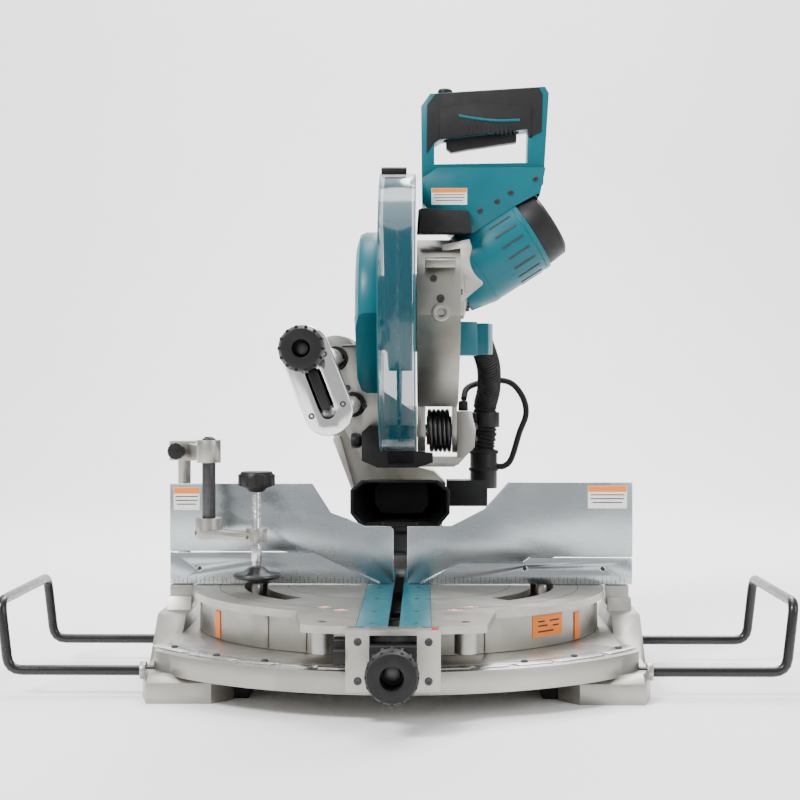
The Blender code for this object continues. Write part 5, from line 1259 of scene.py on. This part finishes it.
def arm_details():
    y0 = HOUSING_Y[0]
    heads = []
    for t, across in ((0.18, 0.0165), (0.18, -0.0165), (0.98, 0.0160), (0.98, -0.0160)):
        x, z = between_rails(t, across)
        heads.append(screw((x, y0 + 0.0004, z), (0, -1, 0), 0.0030, 0.0014))
    detail("front_cap_screws", "bevel_arm", "dark_steel", heads)
    back = ARM_Y[1]
    bolts = [screw((x, back, z), (0, 1, 0), 0.0050, 0.0040)
             for x, z in ((-0.068, 0.332), (-0.090, 0.305), (-0.075, 0.230), (0.0, 0.170), (-0.030, 0.150))]
    detail("arm_bolts", "bevel_arm", "dark_steel", bolts)
    webs = [hull([(x, y, z) for x, z in side for y in (back - 0.001, back + 0.004)])
            for side in (((-0.075, 0.270), (-0.068, 0.272), (-0.020, 0.110), (-0.028, 0.106)),
                         ((0.030, 0.205), (0.037, 0.200), (0.022, 0.108), (0.014, 0.108)))]
    detail("arm_webs", "bevel_arm", "cast_alloy", webs, 0.0015)
    lips = []
    for y, grow in ((0.1735, 1.0), (0.195, 0.93), (0.222, 0.85)):
        outline = [(x * grow, 0.172 + (z - 0.172) * (1.0 - (1 - grow) * 0.5)) for x, z in
                   ((-0.0645, 0.160), (-0.0505, 0.1425), (0.0465, 0.1425), (0.0615, 0.160), (0.0615, 0.1895),
                    (0.0465, 0.2020), (-0.0505, 0.2020), (-0.0645, 0.1895))]
        band = extruded("Y", outline, y, y + 0.004)
        hollow = [(x * 0.93, 0.172 + (z - 0.172) * 0.88) for x, z in outline]
        inner = extruded("Y", hollow, y - 0.01, y + 0.02)
        lips.append(merged([band], [inner]))
    detail("hood_lips", "bevel_arm", "black_rubber", lips, 0.0008)
    cuffs = [ring("Z", (0.108, 0.288, 0), 0.0178, 0.0198, z, z + 0.004, 32) for z in (0.2080, 0.2310)]
    detail("elbow_cuffs", "bevel_arm", "black_rubber", cuffs, 0.0006)


def carriage_details():
    py, pz = PIVOT[1], PIVOT[2]
    coils = [Vector((0.0345 + 0.0285 * t / 120, py + 0.0258 * cos(t / 24 * 2 * pi),
                     pz + 0.0258 * sin(t / 24 * 2 * pi))) for t in range(0, 121)]
    spring = detail("shown_return_spring", "carriage", "dark_steel",
                    [tube(coils, 0.0026, 16), ring("X", (0, py, pz), 0.0095, 0.0190, 0.0320, 0.0646, 32)])
    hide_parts("return_spring")
    heads = [screw((0.0955, 0.252, 0.252), (1, 0, 0), 0.0040, 0.0030),
             screw((0.0955, 0.240, 0.268), (1, 0, 0), 0.0040, 0.0030),
             screw((-0.0700, 0.2150, 0.3180), (0, -1, 0), 0.0040, 0.0030),
             screw((-0.0960, 0.2150, 0.3320), (0, -1, 0), 0.0036, 0.0030),
             screw((-0.0480, 0.2150, 0.2950), (0, -1, 0), 0.0036, 0.0030)]
    detail("carriage_screws", "carriage", "dark_steel", heads)
    caps = [disc("X", (0, py, pz), 0.0150, 0.0895, 0.0925, 6),
            disc("X", (0, py, pz), 0.0060, 0.0915, 0.0960, 20)]
    detail("pivot_nut", "carriage", "steel", caps, 0.0005)
    face = CARRIAGE_Y[0]
    scrapers = [ring("Y", (x, 0, z), RAIL_R + 0.0002, 0.0158, face - 0.0025, face + 0.001, 36)
                for x, z in (RAIL_HIGH, RAIL_LOW)]
    detail("rail_wipers", "carriage", "black_rubber", scrapers, 0.0005)


def head_details():
    label("handle_tag", "head", (0.0585, 0.0455, 0.5440), (0, -1, 0), 0.042, 0.0195)
    heads = [screw((x, 0.0456, z), (0, -1, 0), 0.0034, 0.0012, "cross")
             for x, z in ((0.0950, 0.5270), (0.1150, 0.5380), (0.1310, 0.5480), (0.1600, 0.5640))]
    detail("handle_screws", "head", "dark_steel", heads)
    grip = [(0.0320, 0.5960), (0.0405, 0.6085), (0.0480, 0.6135), (0.1520, 0.6255), (0.1525, 0.6150),
            (0.1680, 0.6210), (0.1690, 0.6660), (0.1650, 0.6735), (0.0420, 0.6662), (0.0325, 0.6530)]
    skins = [extruded("Y", grip, 0.0558, 0.0578), extruded("Y", grip, 0.0932, 0.0952)]
    detail("grip_skins", "head", "black_rubber", skins, 0.0008)
    crown_side = ((0.0420, 0.6640), (0.0420, 0.6668), (0.1650, 0.6741), (0.1650, 0.6700))
    crown = hull([(x, y, z) for x, z in crown_side for y in (0.0565, 0.0945)])
    button_gap = disc("Z", (0.054, 0.0755, 0), 0.0100, 0.6500, 0.70, 16)
    detail("grip_crown", "head", "black_rubber", [crown], 0.0006, [button_gap])
    inlay = smooth_path([(0.0700, 0.0546, 0.6405), (0.0900, 0.0543, 0.6370), (0.1150, 0.0543, 0.6345),
                         (0.1420, 0.0546, 0.6350)], 0.002)
    detail("grip_inlay", "head", "teal_plastic", [tube(inlay, 0.0017, 14)])
    ridges = [hull([(x, y, z) for x, z in ((x0, z0), (x0 + 0.0016, z0), (x0 + 0.0022, z0 - 0.0110),
                                           (x0 + 0.0006, z0 - 0.0110)) for y in (0.0538, 0.0550)])
              for x0, z0 in [(0.0780 + 0.0052 * k, 0.6305 - 0.0002 * k) for k in range(12)]]
    detail("grip_ridges", "head", "black_rubber", ridges)
    vents = []
    for k in range(20):
        fin = box((-0.0620, -0.0330), (-0.0011, 0.0011), (0.0462, 0.0474))
        fin.data.transform(Matrix.Rotation(2 * pi * k / 20, 4, "X"))
        turn = Matrix.Rotation(radians(-MOTOR_TILT), 4, "Y")
        fin.data.transform(Matrix.Translation(MOTOR_AT) @ turn)
        vents.append(fin)
    detail("motor_vents", "head", "ink", vents)
    fins = []
    for k in range(16):
        fin = box((0.0010, 0.0066), (-0.0010, 0.0010), (0.0165, 0.0385))
        fin.data.transform(Matrix.Rotation(2 * pi * k / 16, 4, "X"))
        fin.data.transform(Matrix.Translation(MOTOR_AT) @ Matrix.Rotation(radians(-MOTOR_TILT), 4, "Y"))
        fins.append(fin)
    detail("cap_fins", "head", "black_plastic", fins, 0.0003)
    seams = [along_motor([(0.0462, -0.0262), (0.0474, -0.0262), (0.0474, -0.0242), (0.0462, -0.0242)]),
             along_motor([(0.0462, -0.0960), (0.0474, -0.0960), (0.0474, -0.0945), (0.0462, -0.0945)])]
    detail("motor_seams", "head", "teal_plastic", seams, 0.0003)
    bolts = [screw((0.0800, 0.070 + 0.032 * cos(t), 0.442 + 0.032 * sin(t)), (1, 0, 0), 0.0036, 0.0026)
             for t in (0.4, 1.7, 3.0, 4.3, 5.5)]
    bolts += [screw((0.048, -0.0105, 0.4210), (0, -1, 0), 0.0046, 0.0032),
              screw((0.040, -0.0085, 0.4440), (0, -1, 0), 0.0040, 0.0030)]
    bolts += [screw((0.0712, y, z), (1, 0, 0), 0.0038, 0.0026)
              for y, z in ((0.245, 0.325), (0.200, 0.400), (0.110, 0.400), (0.020, 0.430))]
    detail("housing_bolts", "head", "dark_steel", bolts)
    webs = [hull([(0.0300, 0.020, 0.375), (0.0340, 0.018, 0.375), (0.0340, 0.008, 0.470),
                  (0.0300, 0.010, 0.470), (0.0260, 0.060, 0.350), (0.0260, 0.060, 0.480)]),
            ring("Y", (0.048, 0, 0.405), 0.0050, 0.0105, -0.0150, 0.004, 28),
            hull([(x, y, z) for x in (0.030, 0.0655) for y, z in ((-0.0135, 0.4650), (-0.0050, 0.4690),
                                                                 (0.0, 0.4560), (-0.0130, 0.4560))])]
    detail("housing_webs", "head", "cast_alloy", webs, 0.0012)
    spots = [(-0.0493, ARBOR[1] + 0.062 * cos(t), ARBOR[2] + 0.062 * sin(t)) for t in (0.5, 1.9, 3.3)]
    side = [screw(spot, (-1, 0, 0), 0.0040, 0.0014, "cross") for spot in spots]
    detail("cover_screws", "head", "dark_steel", side)
    rings_on = [ring("X", ARBOR, r, r + 0.0022, -0.0503, -0.0490, 72) for r in (0.030, 0.046)]
    detail("cover_rings", "head", "teal_plastic", rings_on, 0.0004)
    lamp = [oriented(disc("Z", (0, 0, 0), 0.0065, 0.0, 0.0035, 24), (0.0480, 0.030, 0.3690), (0, -0.4, -1))]
    detail("lamp_lens", "head", "white", lamp, 0.0005)


def blade_details():
    tips = []
    teeth = 60
    for k in range(teeth):
        t = 2 * pi * k / teeth
        tip = hull([(x, y, z) for x in (-0.0015, 0.0015)
                    for y, z in ((BLADE_R - 0.0055, -0.0010), (BLADE_R - 0.0002, -0.0010),
                                 (BLADE_R - 0.0006, 0.0012), (BLADE_R - 0.0055, 0.0008))])
        tip.data.transform(Matrix.Translation(Vector(ARBOR)) @ Matrix.Rotation(t, 4, "X"))
        tips.append(tip)
    detail("carbide_tips", "blade", "carbide", tips)
    plate_side = []
    for k in range(teeth):
        base = 2 * pi * k / teeth
        for radius, share in ((BLADE_R - 0.0012, 0.03), (BLADE_R - 0.0075, 0.12), (BLADE_R - 0.0085, 0.45),
                              (BLADE_R - 0.0040, 0.80), (BLADE_R - 0.0012, 0.97)):
            t = base + share * 2 * pi / teeth
            plate_side.append((ARBOR[1] + radius * cos(t), ARBOR[2] + radius * sin(t)))
    half = BLADE_T / 2
    body = merged([extruded("X", plate_side, -half, half)], [disc("X", ARBOR, 0.0126, -0.01, 0.01, 32)])
    dressed(body, "shown_saw_blade", "blade", 0.0002)
    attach(body, "blade")
    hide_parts("saw_blade")
    face = half + 0.00012
    grooves = [ring("X", ARBOR, r, r + 0.0006, -face, face, 96) for r in (0.060, 0.108, 0.130)]
    detail("blade_rings", "blade", "ink", grooves)


def guard_details():
    ay, az = ARBOR[1], ARBOR[2]
    ribs = []
    for angle in range(110, 290, 12):
        for x in (GUARD_X[0] + 0.0002, GUARD_X[1] - 0.0002):
            rib = box((-0.0006, 0.0006), (0.128, 0.1605), (-0.0007, 0.0007))
            rib.data.transform(Matrix.Translation((x, ay, az)) @ Matrix.Rotation(radians(angle), 4, "X"))
            ribs.append(rib)
    detail("guard_ribs", "lower_guard", "clear_teal", ribs)
    rims = []
    for x in (GUARD_X[0], GUARD_X[1]):
        shape = arc((ay, az), GUARD_R + 0.0002, 104, 286, 40) + arc((ay, az), GUARD_R - 0.0045, 286, 104, 40)
        rims.append(extruded("X", shape, x - 0.0007, x + 0.0007))
    detail("guard_rims", "lower_guard", "teal_plastic", rims, 0.0003)


# ---- studio ------------------------------------------------------------------------------
def soft_light(name, at, target, size, power, tint=(1.0, 1.0, 1.0)):
    data = bpy.data.lights.new(name, "AREA")
    data.shape = "DISK"
    data.size = size
    data.energy = power
    data.color = tint
    lamp = bpy.data.objects.new(name, data)
    lamp.location = at
    lamp.rotation_euler = (Vector(target) - Vector(at)).to_track_quat("-Z", "Y").to_euler()
    bpy.context.scene.collection.objects.link(lamp)


def make_studio():
    camera_data = bpy.data.cameras.new("view")
    camera_data.lens = 71.2
    camera_data.sensor_width = 36.0
    camera = bpy.data.objects.new("view", camera_data)
    camera.location = (0.030, -1.820, 0.322)
    camera.rotation_euler = (radians(90 - 0.543), 0, radians(0.905))
    bpy.context.scene.collection.objects.link(camera)
    bpy.context.scene.camera = camera
    world = bpy.data.worlds.new("studio")
    world.use_nodes = True
    world.node_tree.nodes["Background"].inputs["Color"].default_value = (1.0, 1.0, 1.0, 1.0)
    world.node_tree.nodes["Background"].inputs["Strength"].default_value = 0.70
    bpy.context.scene.world = world
    soft_light("key", (-1.5, -1.7, 2.2), (0, 0, 0.3), 0.9, 105)
    soft_light("fill", (2.0, -1.4, 1.2), (0, 0, 0.25), 1.4, 26)
    soft_light("rim", (0.6, 2.0, 2.4), (0, 0, 0.3), 1.2, 70)
    soft_light("backdrop", (0.0, 1.2, 3.2), (0, 3.0, 1.2), 2.4, 150)
    soft_light("top", (0.0, -0.1, 2.8), (0, 0, 0.2), 1.8, 30)
    # a floor that curves up behind the saw
    bm = bmesh.new()
    profile = [(-9.0, 0.0), (2.2, 0.0)] + [(2.2 + 1.2 * sin(t), 1.2 - 1.2 * cos(t))
                                          for t in [radians(9 * k) for k in range(1, 11)]] + [(3.4, 5.0)]
    rows = [[bm.verts.new((x, y, z)) for x in (-9.0, 9.0)] for y, z in profile]
    for a, b in zip(rows, rows[1:]):
        bm.faces.new((a[0], a[1], b[1], b[0]))
    floor = finished(bm)
    floor.name = "studio_floor"
    floor.data.shade_smooth()
    paper = Nodes("studio_paper")
    tone = paper.mix(paper.span(paper.noise(2.0), 0.0, 1.0), (0.93, 0.93, 0.93), (0.96, 0.96, 0.96))
    grain = paper.bump(paper.noise(300.0), 0.03, 0.0004)
    floor.data.materials.append(paper.wire(tone, paper.span(paper.noise(3.0), 0.7, 0.85), grain))


# ---- the whole saw -----------------------------------------------------------------------
def make_saw():
    kit = Kit()
    make_base(kit)
    make_fences(kit)
    make_extension_bars(kit)
    make_vise(kit)
    make_turntable(kit)
    make_arm(kit)
    make_carriage(kit)
    make_head(kit)
    make_blade(kit)
    make_guard(kit)
    base_details()
    fence_details()
    turntable_details()
    knob_details()
    vise_details()
    arm_details()
    carriage_details()
    head_details()
    blade_details()
    guard_details()


make_studio()
make_cords()
make_saw()
